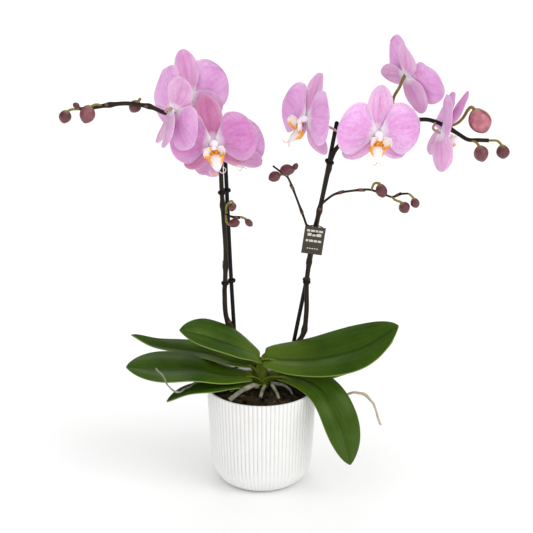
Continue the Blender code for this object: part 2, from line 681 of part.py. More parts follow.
def build_flower(name, centre, face, top, stalk, finish):
    """One open flower: sepals with column and pedicel, two petals, and the lip."""
    out = Vector(face).normalized()
    up = Vector(top)
    up = (up - out * up.dot(out)).normalized()
    right = up.cross(out)
    frame = Matrix((right, up, out)).transposed().to_4x4()
    frame.translation = at_plant(*centre)
    start = COLUMN_RADIUS + 2 * GAP
    place = {**OPEN_TEPALS, **TURNED_TEPALS.get(name, {})}

    sepals = [
        ellipsoid(Vector((0, 0, -3.0 * MM)), Vector((0, 0, 1)), 6 * MM, 11 * MM, 8, 4),
        tepal(DORSAL_LENGTH, DORSAL_HALF_WIDTH, 0.55, place["dorsal"],
              2 * MM, -2 * MM, 2 * MM, -2.6 * MM, 6, 2, 0.35),
        tepal(LATERAL_LENGTH, LATERAL_HALF_WIDTH, 0.5, place["lateral_left"],
              2 * MM, -1 * MM, 2 * MM, -3.2 * MM, 5, 2, 0.4),
        tepal(LATERAL_LENGTH, LATERAL_HALF_WIDTH, 0.5, place["lateral_right"],
              2 * MM, -1 * MM, 2 * MM, -3.9 * MM, 5, 2, 0.4),
        ellipsoid(Vector((0, 0, COLUMN_LENGTH / 2 - 1 * MM)), Vector((0, 0, 1)),
                  COLUMN_LENGTH + 4 * MM, 2 * COLUMN_RADIUS, 6, 5),
    ]
    sepals = [placed(data, frame) for data in sepals]
    path = [frame @ Vector((0, 0, -2.5 * MM))] + [at_plant(*point) for point in stalk]
    sepals.append(tube(smooth_path(path, 12 * MM), PEDICEL_RADIUS, None, 6))
    combined(f"{name}_sepals", sepals, finish["tepal"])

    for side in ("petal_left", "petal_right"):
        petal = tepal(PETAL_LENGTH, PETAL_HALF_WIDTH, 0.55, place[side],
                      start, 2 * MM, -2 * MM, 1.0 * MM, 6, 4, 0.16)
        add_object(f"{name}_{side}", triangulated(placed(petal, frame)), finish["tepal"])

    foot = frame @ Matrix.Translation((0, -(COLUMN_RADIUS + 2.5 * MM), 3.0 * MM))
    add_object(f"{name}_lip", triangulated(placed(lip_sheet(), foot)), finish["lip"])


def lip_sheet(columns=13, rows=4):
    """The lip: a sheet round its foot with two upturned side lobes and a long middle lobe."""
    grid = []
    for k in range(columns):
        azimuth = 155 + 230 * k / (columns - 1)
        side = math.exp(-(min(abs(azimuth - 176), abs(azimuth - 364)) / 27) ** 2)
        middle = math.exp(-((azimuth - 270) / 26) ** 2)
        reach = LIP_THROAT + LIP_SIDE_LENGTH * side + LIP_MIDDLE_LENGTH * middle
        rise = LIP_SIDE_RISE * side + LIP_MIDDLE_RISE * middle
        angle = math.radians(azimuth)
        column = []
        for i in range(rows):
            t = i / (rows - 1)
            r = 1.6 * MM + (reach - 1.6 * MM) * t
            column.append(Vector((r * math.cos(angle), r * math.sin(angle), rise * t ** 1.4)))
        grid.append(column)
    return blade_mesh(grid, TEPAL_THICKNESS)


# ---------------------------------------------------------------- build

def main():
    """Build every piece."""
    clear_scene()
    build_pot(material("white_ceramic", (0.86, 0.86, 0.85), 0.45))
    build_grow_pot(material("clear_plastic", (0.8, 0.84, 0.84), 0.2, transmission=0.8))
    black = material("black_plastic", (0.012, 0.012, 0.012), 0.45)
    stakes = build_stakes(black)
    build_bark(material("bark", (0.11, 0.07, 0.035), 0.9), stakes)
    build_crown(material("crown_green", (0.24, 0.3, 0.05), 0.5))
    build_leaves(material("leaf_green", (0.035, 0.1, 0.012), 0.35))
    build_roots(material("root_silver", (0.42, 0.42, 0.33), 0.7))
    build_spikes(material("stem_brown", (0.06, 0.03, 0.02), 0.5))
    build_clips(black)
    build_tag(material("tag_card", (0.06, 0.05, 0.035), 0.5))
    finish = {
        "tepal": material("petal_mauve", (0.72, 0.33, 0.62), 0.5),
        "lip": material("lip_white", (0.9, 0.82, 0.75), 0.5),
    }
    for name, (centre, face, top, stalk) in FLOWERS.items():
        build_flower(name, centre, face, top, stalk, finish)


main()
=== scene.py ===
"""Potted moth orchid: the looks of every piece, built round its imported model.

Metres, +Z up. The origin is the middle of the pot's foot and -Y is the side that the
open flowers face. Points of the plant are in millimetres from the middle of the bark.
"""
import math
import random

import bmesh
import bpy
from mathutils import Matrix, Vector, noise
from mathutils.geometry import intersect_point_line


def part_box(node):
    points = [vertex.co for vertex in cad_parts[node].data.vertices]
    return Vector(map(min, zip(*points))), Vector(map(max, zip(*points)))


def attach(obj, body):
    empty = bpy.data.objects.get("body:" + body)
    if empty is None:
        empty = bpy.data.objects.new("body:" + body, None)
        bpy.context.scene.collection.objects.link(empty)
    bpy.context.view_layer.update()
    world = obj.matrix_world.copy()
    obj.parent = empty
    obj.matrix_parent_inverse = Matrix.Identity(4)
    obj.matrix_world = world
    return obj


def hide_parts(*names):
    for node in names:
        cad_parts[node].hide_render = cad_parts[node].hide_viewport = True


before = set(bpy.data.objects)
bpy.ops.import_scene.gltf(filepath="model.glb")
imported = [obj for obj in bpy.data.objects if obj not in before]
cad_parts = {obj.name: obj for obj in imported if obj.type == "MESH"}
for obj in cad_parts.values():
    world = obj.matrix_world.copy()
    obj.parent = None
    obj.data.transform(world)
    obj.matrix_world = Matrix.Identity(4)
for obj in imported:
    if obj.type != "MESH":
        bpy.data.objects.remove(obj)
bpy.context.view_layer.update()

bl_info = {
    "name": "Potted Moth Orchid",
    "version": (1, 0, 0),
    "blender": (4, 5, 0),
    "location": "View3D > Sidebar > Orchid",
    "description": "Builds a moth orchid in a fluted pot, piece by piece",
    "category": "Add Mesh",
}

MM = 0.001
POT_LOW, POT_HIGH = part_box("pot")
POT_HEIGHT = POT_HIGH.z
POT_RADIUS = POT_HIGH.x
BARK_TOP = POT_HEIGHT - 11 * MM      # surface of the bark
FLUTES = 78
FLUTE_STEPS = 8                      # vertices round the pot for each flute
SHOULDER_HEIGHT = 38 * MM            # where the pot's wall turns in to its foot
SHOULDER_RADIUS = 66 * MM
FOOT_RADIUS = 43 * MM
FOOT_DISC = 41.6 * MM                # radius of the flat disc under the foot
STAKE_RADIUS = 2.6 * MM
LEAF_GRID = (40, 20)                 # rows and columns of a leaf
PETAL_GRID = (26, 22)
SEPAL_GRID = (22, 12)

LEAVES = {
    # name: midrib points, half width and where it is widest, roll and fold at base and tip
    "leaf_upper_left": (((-3, -3, 47), (-26, -11, 64), (-50, -21, 79), (-74, -31, 91), (-102, -38, 101)),
                        32, 0.55, (18, 24), (14, 8)),
    "leaf_upper_right": (((3, -3, 48), (44, -11, 49), (86, -20, 58), (128, -26, 74), (171, -30, 104)),
                         36, 0.6, (28, 36), (14, 2)),
    "leaf_mid_left": (((-14, 3, 36), (-38, 4, 39), (-66, 21, 42), (-104, 36, 42), (-140, 41, 47),
                       (-170, 45, 61)),
                      24, 0.34, (10, 0), (22, 22)),
    "leaf_lower_left": (((-15, -7, 24), (-48, -15, 30), (-86, -20, 40), (-128, -25, 43), (-171, -28, 47)),
                        37, 0.6, (0, 16), (4, 6)),
    "leaf_short_left": (((-17, -14, 14), (-42, -26, 20), (-68, -36, 21), (-96, -44, 19), (-119, -52, 10)),
                        17, 0.5, (6, 0), (10, 10)),
    "leaf_back_right": (((17, 1, 21), (41, 2, 16), (67, 17, 16), (100, 44, 18), (138, 72, 26),
                        (176, 94, 36)),
                        30, 0.6, (6, 6), (8, 8)),
}

# The drooping leaf and one aerial root cross the rim: azimuth in degrees, distance past
# the rim and height over the rim.
DROOPING_LEAF = ((-16, -41, 15), (-21, -14, 15), (-26, 11, 10), (-29, 30, -4), (-31, 45, -27),
                 (-30, 53, -53), (-29, 58, -84))
AERIAL_ROOT_RIGHT = ((-12, -6, 7), (-9, 6, 4), (-7, 20, -4), (-7, 37, -9), (-8, 50, -4), (-9, 64, -7),
                     (-10, 73, -15), (-11, 79, -28), (-12, 85, -43))

ROOTS = {
    # name: points, radius at the crown and at the tip (mm)
    "root_thick_left": (((-6, -15, 15), (-13, -24, 19), (-23, -32, 18), (-32, -38, 14),
                         (-40, -42, 7)), 3.4, 3.0),
    "root_middle": (((4, -15, 16), (2, -19, 14), (0, -24, 9), (-1, -30, 5)), 2.4, 2.0),
    "root_right": (((13, -14, 16), (17, -20, 13), (20, -27, 9), (22, -33, 5)), 2.4, 1.6),
    "aerial_root_left": (((-12, -9, 20), (-24, -13, 22), (-44, -18, 24), (-66, -24, 27), (-86, -37, 28),
                          (-97, -53, 27.5), (-102, -61, 28), (-108, -63, 29.5), (-115, -63, 36),
                          (-121, -64, 48), (-127, -64, 56), (-131, -64, 61)), 1.6, 1.1),
}

# Thin roots that lie on the bark round the crown.
ROOT_WOBBLE_SEED = 7
ROOTLETS = (((-8, 2, 20), (-20, -4, 17), (-31, -9, 12), (-40, -12, 4)),
            ((12, -4, 14), (26, -4, 12), (37, -14, 8), (40, -24, 1)))

STAKES = {
    "stake_left": ((-31, 22, -8), (-36, 20, 92), (-40, 18, 180), (-45, 16, 318)),
    "stake_right": ((30, 24, -5), (42, 22, 64), (57, 20, 147), (70, 17, 226), (92, 12, 354)),
}

STEMS = {
    # name: radius at the foot (mm) and the points it passes
    "spike_left": (3.3, (
        (-13, 15, 40), (-26, 15, 66), (-44, 14, 94), (-47, 14, 130), (-46, 9, 148), (-45, 8, 190),
        (-47, 7, 230), (-49, 7, 266), (-51, 7, 308), (-58, 8, 336), (-72, 8, 356), (-91, 6, 365),
        (-112, 3, 367), (-122, 0, 371), (-134, -2, 377), (-148, -4, 380), (-163, -6, 382), (-180, -8, 381),
        (-202, -10, 378), (-218, -11, 376))),
    "spike_right": (3.3, (
        (14, 15, 38), (32, 15, 50), (52, 14, 72), (57, 13, 105), (57, 11, 145), (60, 10, 176),
        (63, 9, 205), (70, 7, 234), (76, 6, 264), (82, 4, 294), (86, 5, 311), (95, 10, 325),
        (121, 16, 340), (158, 18, 350), (194, 14, 357), (210, 10, 356), (225, 6, 350), (238, 2, 343),
        (251, -2, 336), (263, -4, 336), (276, -6, 336))),
    "branch_left": (1.5, ((-46, 5, 238), (-42, -4, 240), (-34, -8, 239), (-24, -11, 240), (-19, -12, 238))),
    "branch_right_inner": (1.6, ((66, 8, 217), (61, 0, 224), (56, -3, 227), (53, -6, 236), (45, -11, 259),
                                 (36, -15, 284), (31, -17, 294), (25, -19, 299), (14, -20, 308))),
    "branch_right_outer": (1.6, ((75, 6, 252), (79, -3, 259), (88, -9, 268), (97, -12, 272), (110, -15, 275),
                                 (124, -17, 277), (134, -18, 277), (152, -20, 271), (160, -21, 269),
                                 (169, -22, 273), (179, -23, 274))),
}

# Shares of a stem's length where a bract clasps it.
BRACTS = {"spike_left": (0.12, 0.29, 0.45, 0.58, 0.71, 0.83, 0.93),
          "spike_right": (0.12, 0.3, 0.44, 0.55, 0.69, 0.8, 0.9),
          "branch_left": (0.6,), "branch_right_inner": (0.35, 0.62, 0.85),
          "branch_right_outer": (0.3, 0.52, 0.72, 0.9)}

BUDS = {
    # stem: list of (pedicel points, bud centre, bud length and width in mm)
    "spike_left": (
        (((-218, -11, 376), (-228, -12, 376), (-234, -12, 373)), (-236, -12, 367), 17, 15),
        (((-190, -9, 380), (-199, -12, 382), (-207, -14, 378)), (-209, -15, 371), 23, 19),
        (((-150, -4, 381), (-146, -1, 386), (-147, 2, 385)), (-153, 3, 376), 17, 15),
        (((-215, -11, 377), (-219, -12, 379)), (-222, -12, 381), 9, 7),
    ),
    "branch_left": (
        (((-43, -4, 243), (-43, -9, 253), (-37, -11, 261), (-34, -12, 258)), (-35.5, -12, 253.5), 12, 9.5),
        (((-44, -4, 240), (-43, -9, 233), (-40, -10, 230)), (-33.5, -12, 232.5), 15, 11),
        (((-26, -11, 240), (-21, -12, 239)), (-15.5, -13, 233.5), 12, 8.5),
    ),
    "branch_right_inner": (
        (((28, -18, 297), (21, -21, 297)), (16, -22, 295), 16, 13),
        (((29, -18, 297), (31, -20, 300)), (31, -20, 303), 14, 18),
        (((31, -17, 294), (38, -16, 301)), (41, -16, 306), 10, 7),
    ),
    "branch_right_outer": (
        (((134, -18, 277), (137, -21, 286), (143, -23, 287)), (146, -24, 278), 18, 14),
        (((158, -21, 270), (163, -24, 266), (170, -26, 264)), (174, -26, 257), 15, 14),
        (((179, -23, 274), (184, -25, 270)), (187, -26, 263), 13, 11),
    ),
    "spike_right": (
        (((226, 6, 350), (237, 2, 355), (244, -1, 363), (249, -3, 373), (253, -4, 377), (257, -4, 374)),
         (264, -4, 360), 33, 27),
        (((251, -2, 336), (260, -6, 334), (265, -8, 328)), (267, -8, 320), 21, 18),
        (((276, -6, 336), (286, -8, 336), (292, -10, 330)), (293, -10, 323), 18, 16),
    ),
}

CLIPS = {
    # name: middle of the stake and of the stem where they are held together (mm)
    "clip_left_upper": ((-43, 17, 266), (-49, 7, 266)),
    "clip_left_lower": ((-38, 19, 146), (-46, 9.3, 146)),
    "clip_right_upper": ((83, 14, 305), (84, 4.5, 305)),
    "clip_right_lower": ((57, 20, 147), (57, 11, 147)),
}

FLOWERS = {
    # name: centre (mm), direction it faces, direction of its top, pedicel points back to the stem,
    # the stem, and its tint (the darkest tint is painted shade)
    # this flower gets the darkest tint, a painted shade, as it lies in the shade of the others
    "flower_front_left": ((-57, -32, 341), (0.05, -0.97, -0.12), (-0.05, 0, 1),
                          ((-58, -10, 334), (-60, 0, 336)), "spike_left", "dark_tint"),
    "flower_upper_left": ((-86, 30, 382), (0.41, 0.87, -0.28), (-0.29, 0.41, 0.87),
                          ((-93, 16, 384), (-102, 6, 379)), "spike_left", "pale"),
    "flower_side_left": ((-102, -44, 385), (0.8, 0.58, -0.08), (0.3, -0.42, 0.85),
                         ((-112, -42, 383), (-113, -26, 377), (-106, -8, 368)), "spike_left", "mid"),
    "flower_behind_left": ((-42, 40, 312), (0.33, 0.94, 0.11), (-0.45, 0.1, 0.9),
                           ((-48, 26, 324), (-52, 16, 326)), "spike_left", "pale"),
    "flower_inner_right": ((54, -15, 365), (-0.83, -0.5, 0.2), (0.25, 0, 0.95),
                           ((68, -4, 358), (84, 2, 350), (97, 5, 341)), "spike_right", "mid"),
    "flower_front_right": ((139, -34, 352), (0.24, -0.97, -0.05), (0.06, 0, 1),
                           ((134, -8, 346), (136, 4, 346)), "spike_right", "mid"),
    "flower_upper_right": ((175, 2, 415), (0.8, 0.44, 0.41), (-0.05, -0.63, 0.78),
                           ((166, -4, 402), (159, 4, 382)), "spike_right", "mid"),
    "flower_far_right": ((219, -8, 346), (0.96, 0.15, -0.23), (0.2, 0.17, 0.96),
                         ((208, -2, 350),), "spike_right", "mid"),
}

# Azimuth in the flower's plane, lean towards its face and any twist, in degrees, of each tepal.
OPEN_TEPALS = {"dorsal": (90, 0), "petal_left": (168, 0), "petal_right": (12, 0),
               "lateral_left": (-142, -4), "lateral_right": (-38, -4)}
TURNED_TEPALS = {
    "flower_front_left": {"dorsal": (97, 0), "lateral_left": (-136, -4)},
    "flower_upper_left": {"dorsal": (98, 0)},
    "flower_side_left": {"dorsal": (97, -10, 35), "petal_left": (187, 0), "petal_right": (20, 0),
                         "lateral_left": (-138, -20, 10), "lateral_right": (-98, -8, 25)},
    "flower_inner_right": {"petal_left": (171, 0), "petal_right": (22, 0),
                           "lateral_left": (-140, -14), "lateral_right": (-40, -14)},
    "flower_behind_left": {"lateral_right": (-10, -10)},
    "flower_upper_right": {"petal_left": (168, 14), "petal_right": (3, 14, 12),
                           "lateral_left": (-142, -4, -28)},
    "flower_far_right": {"dorsal": (93, 24), "petal_left": (140, -12), "petal_right": (62, 4),
                         "lateral_left": (-114, 8, -36), "lateral_right": (-32, 4)},
}

# How far along it starts, its bend, its cup and its lift (mm), and its share of the ruffle, of each tepal.
RELIEFS = {"petal": (3.4, 2, -2.5, 1.0, 1.0), "dorsal": (1.5, -2, 2.5, -2.6, 0.6),
           "lateral": (1.5, -1, 2.5, -3.4, 0.6)}

# Turn of each flower's lip in its own plane, in degrees.
LIP_TURNS = (7, 0, -5, 4, -6, -3, 5, 0)

# Knobs of a lip: size and place (mm) and finish.
KNOBS = (((2.3, 3.2, 2.6), (-2.1, -2.6, 4.4), "callus"), ((2.3, 3.2, 2.6), (2.1, -2.6, 4.4), "callus"),
         ((1.7, 1.8, 2.0), (0.0, 0.2, 4.6), "callus"), ((5.0, 4.4, 1.6), (0.0, 2.4, 1.4), "throat"),
         ((2.4, 2.6, 1.4), (-5.6, -4.6, 2.4), "callus"), ((2.4, 2.6, 1.4), (5.6, -4.6, 2.4), "callus"))

# Points of a lip's right tendril, from the foot of the lip (mm).
TENDRIL = ((1.2, -23.5, 11.2), (4.0, -26.5, 12.5), (8.0, -25.5, 14.0), (10.0, -21.5, 15.0),
           (8.0, -18.5, 15.5))

# Care tag: its size, its middle and its tilt, and the height, size and widths of its printed bars (mm).
CARD = (26, 0.8, 36)
CARD_PLACE = (64.5, -6, 208)
CARD_TILT = 8
BARS = ((12.4, 2.6, (4, 5, 3, 5)), (7.4, 3.8, (5, 4, 6)), (-0.6, 2.8, (3, 5, 4, 4)),
        (-10.6, 1.2, (2, 2, 2, 2, 2)))

CAMERA_PLACE = (0.0062, -1.8323, 0.9466)
CAMERA_TILT = 19.7                   # degrees down from level

# Suns: name, the way they shine, angle in degrees and strength.
SUNS = (("key", (-1.0, 0.6, -0.95), 40.0, 0.9), ("front", (-0.1, 1.0, -0.4), 60.0, 0.5),
        ("rim", (0.15, -0.9, -1.0), 26.0, 0.25))

# Colour of a petal, of a sepal and of their veins, by the flower's tint; the darkest tint is painted shade,
# the flowers' colour darkened for the front left flower, which lies in the shade of the others.
TINTS = {
    "pale": ((0.8, 0.5, 0.78), (0.76, 0.42, 0.66), (0.56, 0.2, 0.46)),
    "mid": ((0.82, 0.46, 0.78), (0.78, 0.48, 0.7), (0.5, 0.15, 0.42)),
    # darkest tint: painted shade, the flowers' colour darkened for a flower in the shade of the others
    "dark_tint": ((0.64, 0.28, 0.56), (0.57, 0.24, 0.4), (0.38, 0.08, 0.25)),
}


# ---------------------------------------------------------------- sizes and colours

def length_setting(name, description, default):
    """A length that can be set; its default is in millimetres."""
    return bpy.props.FloatProperty(name=name, description=description, default=default * MM, unit="LENGTH")


def colour_setting(name, description, default):
    """A colour that can be set."""
    return bpy.props.FloatVectorProperty(name=name, description=description, subtype="COLOR", size=3,
                                         default=default, min=0.0, max=1.0)


class OrchidPotSettings(bpy.types.PropertyGroup):
    """What can be set on the pot, the bark and the tag."""
    wall: length_setting("Pot wall", "Thickness of the cover pot's wall", 3.4)
    flute_depth: length_setting("Flute depth", "Depth of the grooves between the flutes", 1.1)
    glaze: colour_setting("Glaze", "Colour of the pot", (0.8, 0.8, 0.79))
    chips: bpy.props.IntProperty(name="Bark chips", description="Number of loose chips on the bark",
                                 default=150, min=0)
    card: colour_setting("Card", "Colour of the care tag", (0.05, 0.042, 0.03))


class OrchidPlantSettings(bpy.types.PropertyGroup):
    """What can be set on the leaves, the roots, the stems and the buds."""
    leaf_thickness: length_setting("Leaf thickness", "Thickness of a leaf", 1.7)
    leaf: colour_setting("Leaf", "Colour of a leaf's upper side", (0.026, 0.07, 0.001))
    root: colour_setting("Root", "Colour of a dry root", (0.36, 0.35, 0.25))
    stem: colour_setting("Stem", "Colour of a flower spike", (0.01, 0.007, 0.004))
    bud: colour_setting("Bud", "Colour of a bud", (0.37, 0.1, 0.135))


class OrchidFlowerSettings(bpy.types.PropertyGroup):
    """What can be set on the open flowers."""
    petal_length: length_setting("Petal length", "Length of a petal", 49)
    petal_half_width: length_setting("Petal half width", "Half the width of a petal", 33)
    dorsal_length: length_setting("Upper sepal length", "Length of the upper sepal", 57)
    dorsal_half_width: length_setting("Upper sepal half width", "Half the width of the upper sepal", 17)
    lateral_length: length_setting("Side sepal length", "Length of a side sepal", 48)
    lateral_half_width: length_setting("Side sepal half width", "Half the width of a side sepal", 15)
    thickness: length_setting("Petal thickness", "Thickness of petals and sepals", 0.7)
    ruffle: length_setting("Ruffle", "How far the petals' edges wave", 1.5)


# ---------------------------------------------------------------- modelling helpers

FINISHES = {}      # every material, by the name of its finish
STEM_PATHS = {}    # points along each stem, for the flowers' pedicels


def start_piece():
    """Leave edit mode and select nothing."""
    if bpy.context.object and bpy.context.object.mode != "OBJECT":
        bpy.ops.object.mode_set(mode="OBJECT")
    bpy.ops.object.select_all(action="DESELECT")


def make_active(*pieces):
    """Select these pieces alone; the first is the active one."""
    start_piece()
    for piece in pieces:
        piece.select_set(True)
    bpy.context.view_layer.objects.active = pieces[0]


def edit(piece):
    """Open a piece in edit mode with nothing selected."""
    make_active(piece)
    bpy.ops.object.mode_set(mode="EDIT")
    bpy.ops.mesh.select_mode(type="VERT")
    bpy.ops.mesh.select_all(action="DESELECT")


def pick(piece, test):
    """Select the vertices of the piece in edit mode whose place passes the test."""
    shape = bmesh.from_edit_mesh(piece.data)
    for vert in shape.verts:
        vert.select_set(bool(test(vert.co)))
    shape.select_flush(True)
    bmesh.update_edit_mesh(piece.data)


def apply_modifiers(piece):
    """Apply every modifier of a piece, in order."""
    make_active(piece)
    for modifier in list(piece.modifiers):
        bpy.ops.object.modifier_apply(modifier=modifier.name)


def join(pieces, name):
    """Join pieces into the first one."""
    make_active(*pieces)
    if len(pieces) > 1:
        bpy.ops.object.join()
    joined = bpy.context.object
    joined.name = name
    joined.data.name = name
    return joined


def wear(piece, *finishes, second=False):
    """Give a piece these finishes alone, its faces in the second one if asked."""
    piece.data.materials.clear()
    for finish in finishes:
        piece.data.materials.append(FINISHES[finish])
    if second:
        for face in piece.data.polygons:
            face.material_index = 1


def finish_piece(piece, name, finish, stands_for=(), angle=40):
    """Settle a finished piece: its place in its mesh, its shading, its finish and its body."""
    make_active(piece)
    bpy.ops.object.transform_apply(location=True, rotation=True, scale=True)
    bpy.ops.object.shade_smooth_by_angle(angle=math.radians(angle))
    piece.name = name
    piece.data.name = name
    if finish:
        wear(piece, finish)
    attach(piece, "root")
    if stands_for:
        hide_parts(*stands_for)


def round_corners(piece, width, segments):
    """Bevel every edge of a piece."""
    corner = piece.modifiers.new("corner", "BEVEL")
    corner.width = width
    corner.segments = segments
    apply_modifiers(piece)


def copy_piece(piece, name):
    """A copy with a mesh of its own."""
    twin = piece.copy()
    twin.data = piece.data.copy()
    twin.name = name
    bpy.context.scene.collection.objects.link(twin)
    return twin


def at_plant(point):
    """A point of the plant, from millimetres over the middle of the bark."""
    return Vector((point[0] * MM, point[1] * MM, BARK_TOP + point[2] * MM))


def past_rim(azimuth, beyond, rise):
    """A point by its azimuth, its distance past the rim and its height over it."""
    reach = POT_RADIUS + beyond * MM
    angle = math.radians(azimuth)
    return Vector((reach * math.cos(angle), reach * math.sin(angle), POT_HEIGHT + rise * MM))


def smooth_path(points, step):
    """Points about one step apart on a smooth curve through the given points."""
    ends = [points[0] * 2 - points[1], *points, points[-1] * 2 - points[-2]]
    path = []
    for a, b, c, d in zip(ends, ends[1:], ends[2:], ends[3:]):
        count = max(1, round((c - b).length / step))
        for i in range(count):
            t = i / count
            path.append(0.5 * (2 * b + (c - a) * t + (2 * a - 5 * b + 4 * c - d) * t * t
                               + (3 * b - a - 3 * c + d) * t ** 3))
    path.append(points[-1].copy())
    return path


def resampled(points, shares):
    """Points at shares of the length of the smooth curve through the given points."""
    fine = smooth_path(points, 1.5 * MM)
    lengths = [0.0]
    for a, b in zip(fine, fine[1:]):
        lengths.append(lengths[-1] + (b - a).length)
    path = []
    k = 0
    for share in shares:
        target = lengths[-1] * share
        while k < len(fine) - 2 and lengths[k + 1] < target:
            k += 1
        path.append(fine[k].lerp(fine[k + 1], (target - lengths[k]) / (lengths[k + 1] - lengths[k])))
    return path


def add_rod(name, path, radius, end_radius=None, sides=12, swell=()):
    """A round rod along a path; swell lists shares of its length where it is thicker."""
    start_piece()
    bpy.ops.curve.primitive_nurbs_path_add(radius=1, location=(0, 0, 0))
    rod = bpy.context.object
    rod.name = name
    curve = rod.data
    curve.splines.clear()
    curve.bevel_depth = radius
    curve.bevel_resolution = (sides - 4) // 2
    curve.use_fill_caps = True
    spline = curve.splines.new("POLY")
    spline.points.add(len(path) - 1)
    last = 1.0 if end_radius is None else end_radius / radius
    for i, (point, place) in enumerate(zip(spline.points, path)):
        share = i / (len(path) - 1)
        point.co = (*place, 1.0)
        bump = sum(0.35 * math.exp(-((share - s) * len(path) / 1.6) ** 2) for s in swell)
        point.radius = 1.0 + (last - 1.0) * share + bump
    make_active(rod)
    bpy.ops.object.convert(target="MESH")
    return bpy.context.object


def stretched(share):
    """A share of a length, with its steps closing up towards the tip."""
    return 1.0 - max(0.0, 1.0 - share) ** 1.5


def outline(t, widest, base, tip=0.5):
    """Share of the full half width at t, 0 to 1 along a leaf, petal or sepal; tip over 0.5 is pointed."""
    if t < widest:
        return base + (1.0 - base) * math.sin(math.pi / 2 * t / widest) ** (1.2 if tip <= 0.5 else 0.75)
    over = (t - widest) / (1.0 - widest)
    return max(0.03, max(0.0, 1.0 - over ** 2.2) ** tip)


def add_blade(name, length, half_width, widest, base, grid, tip=0.5):
    """A flat blade along +X from the origin: a grid whose rows are drawn in to an outline."""
    rows, columns = grid
    start_piece()
    bpy.ops.mesh.primitive_grid_add(x_subdivisions=rows, y_subdivisions=columns, size=1.0,
                                    location=(0.5, 0.0, 0.0))
    blade = bpy.context.object
    blade.name = name
    bpy.ops.object.transform_apply(location=True, rotation=False, scale=False)
    edit(blade)
    for i in range(rows + 1):
        even = i / rows
        t = stretched(even)
        pick(blade, lambda co, even=even: abs(co.x - even) < 0.3 / rows)
        bpy.ops.transform.resize(value=(1.0, 2.0 * half_width * outline(t, widest, base, tip), 1.0),
                                 center_override=(even, 0.0, 0.0))
    bpy.ops.object.mode_set(mode="OBJECT")
    for vert in blade.data.vertices:
        vert.co.x = length * stretched(vert.co.x)
    return blade


def across(blade):
    """For each vertex of a blade: its share of the length and of the half width."""
    uv = blade.data.uv_layers[0].uv
    shares = [(0.0, 0.0)] * len(blade.data.vertices)
    for loop in blade.data.loops:
        place = uv[loop.index].vector
        shares[loop.vertex_index] = (place.x, 2.0 * place.y - 1.0)
    return shares


def thicken(blade, thickness):
    """Give a blade its thickness and round its edge."""
    wall = blade.modifiers.new("wall", "SOLIDIFY")
    wall.thickness = thickness
    wall.offset = 0.0
    wall.use_even_offset = False
    soft = blade.modifiers.new("soft", "SUBSURF")
    soft.levels = 1
    soft.render_levels = 1
    soft.boundary_smooth = "PRESERVE_CORNERS"
    apply_modifiers(blade)
    return blade


# ---------------------------------------------------------------- finishes

def new_group(name, inputs, outputs):
    """A node group with named value inputs and outputs, its first and its last node."""
    group = bpy.data.node_groups.new(name, "ShaderNodeTree")
    for title, default in inputs.items():
        made = group.interface.new_socket(name=title, in_out="INPUT", socket_type="NodeSocketFloat")
        made.default_value = default
    for title in outputs:
        group.interface.new_socket(name=title, in_out="OUTPUT", socket_type="NodeSocketFloat")
    return group, group.nodes.new("NodeGroupInput"), group.nodes.new("NodeGroupOutput")


def fill(tree, made, values):
    """Set a node's inputs, each to a constant or to another node's output; return the node."""
    for key, value in values.items():
        if isinstance(value, bpy.types.NodeSocket):
            tree.links.new(value, made.inputs[key])
        else:
            made.inputs[key].default_value = value
    return made


def node(tree, kind, values=None, **settings):
    """Add a node with its settings and its inputs."""
    made = tree.nodes.new(kind)
    for name, value in settings.items():
        setattr(made, name, value)
    return fill(tree, made, values or {})


def maths(tree, operation, first, second=0.0, third=0.0):
    """A Math node's output."""
    return node(tree, "ShaderNodeMath", {0: first, 1: second, 2: third}, operation=operation).outputs[0]


def product(tree, first, second):
    """The product of two values."""
    return maths(tree, "MULTIPLY", first, second)


def noisy(tree, place, scale, detail):
    """A Noise Texture's value at a place."""
    return node(tree, "ShaderNodeTexNoise", {"Vector": place, "Scale": scale, "Detail": detail}).outputs[0]


def at(tree, system):
    """Texture coordinates: Object or UV."""
    return node(tree, "ShaderNodeTexCoord").outputs[system]


def split(tree, vector):
    """A vector's three parts."""
    return node(tree, "ShaderNodeSeparateXYZ", {0: vector}).outputs


def mixed(tree, factor, first, second):
    """The colour output of a Mix node; each end is a colour of three parts or another node's output."""
    first, second = ((*end, 1.0) if isinstance(end, tuple) else end for end in (first, second))
    values = {"Factor": factor, 6: first, 7: second}
    return node(tree, "ShaderNodeMix", values, data_type="RGBA").outputs[2]


def scaled(colour, *shares):
    """A colour with its parts multiplied, by one share or by one each."""
    return tuple(c * s for c, s in zip(colour, shares * 3 if len(shares) == 1 else shares))


def ranged(tree, value, low, high, to_low=0.0, to_high=1.0):
    """The output of a Map Range node."""
    return node(tree, "ShaderNodeMapRange", {"Value": value, "From Min": low, "From Max": high,
                                             "To Min": to_low, "To Max": to_high}).outputs["Result"]


def new_finish(name):
    """A material with its node tree and its Principled shader."""
    finish = bpy.data.materials.new(name)
    finish.use_nodes = True
    return finish, finish.node_tree, finish.node_tree.nodes["Principled BSDF"]


def mottled(tree, groups, patch, grain, low, high):
    """Soft patches, a fine grain, and a roughness from low to high that follows the grain."""
    mottle = node(tree, "ShaderNodeGroup", node_tree=groups["mottle"])
    fill(tree, mottle, {"Patch Scale": patch, "Grain Scale": grain})
    grit = mottle.outputs["Grain"]
    return mottle.outputs["Patches"], grit, ranged(tree, grit, 0.3, 0.7, low, high)


def veined(tree, groups, count, wander):
    """The outputs of the veins group."""
    veins = node(tree, "ShaderNodeGroup", node_tree=groups["veins"])
    return fill(tree, veins, {"Count": count, "Wander": wander}).outputs


def bump_on(tree, shader, height, distance, strength=1.0):
    """Put a height on a shader's normal."""
    bump = node(tree, "ShaderNodeBump", {"Height": height, "Distance": distance, "Strength": strength})
    tree.links.new(bump.outputs["Normal"], shader.inputs["Normal"])


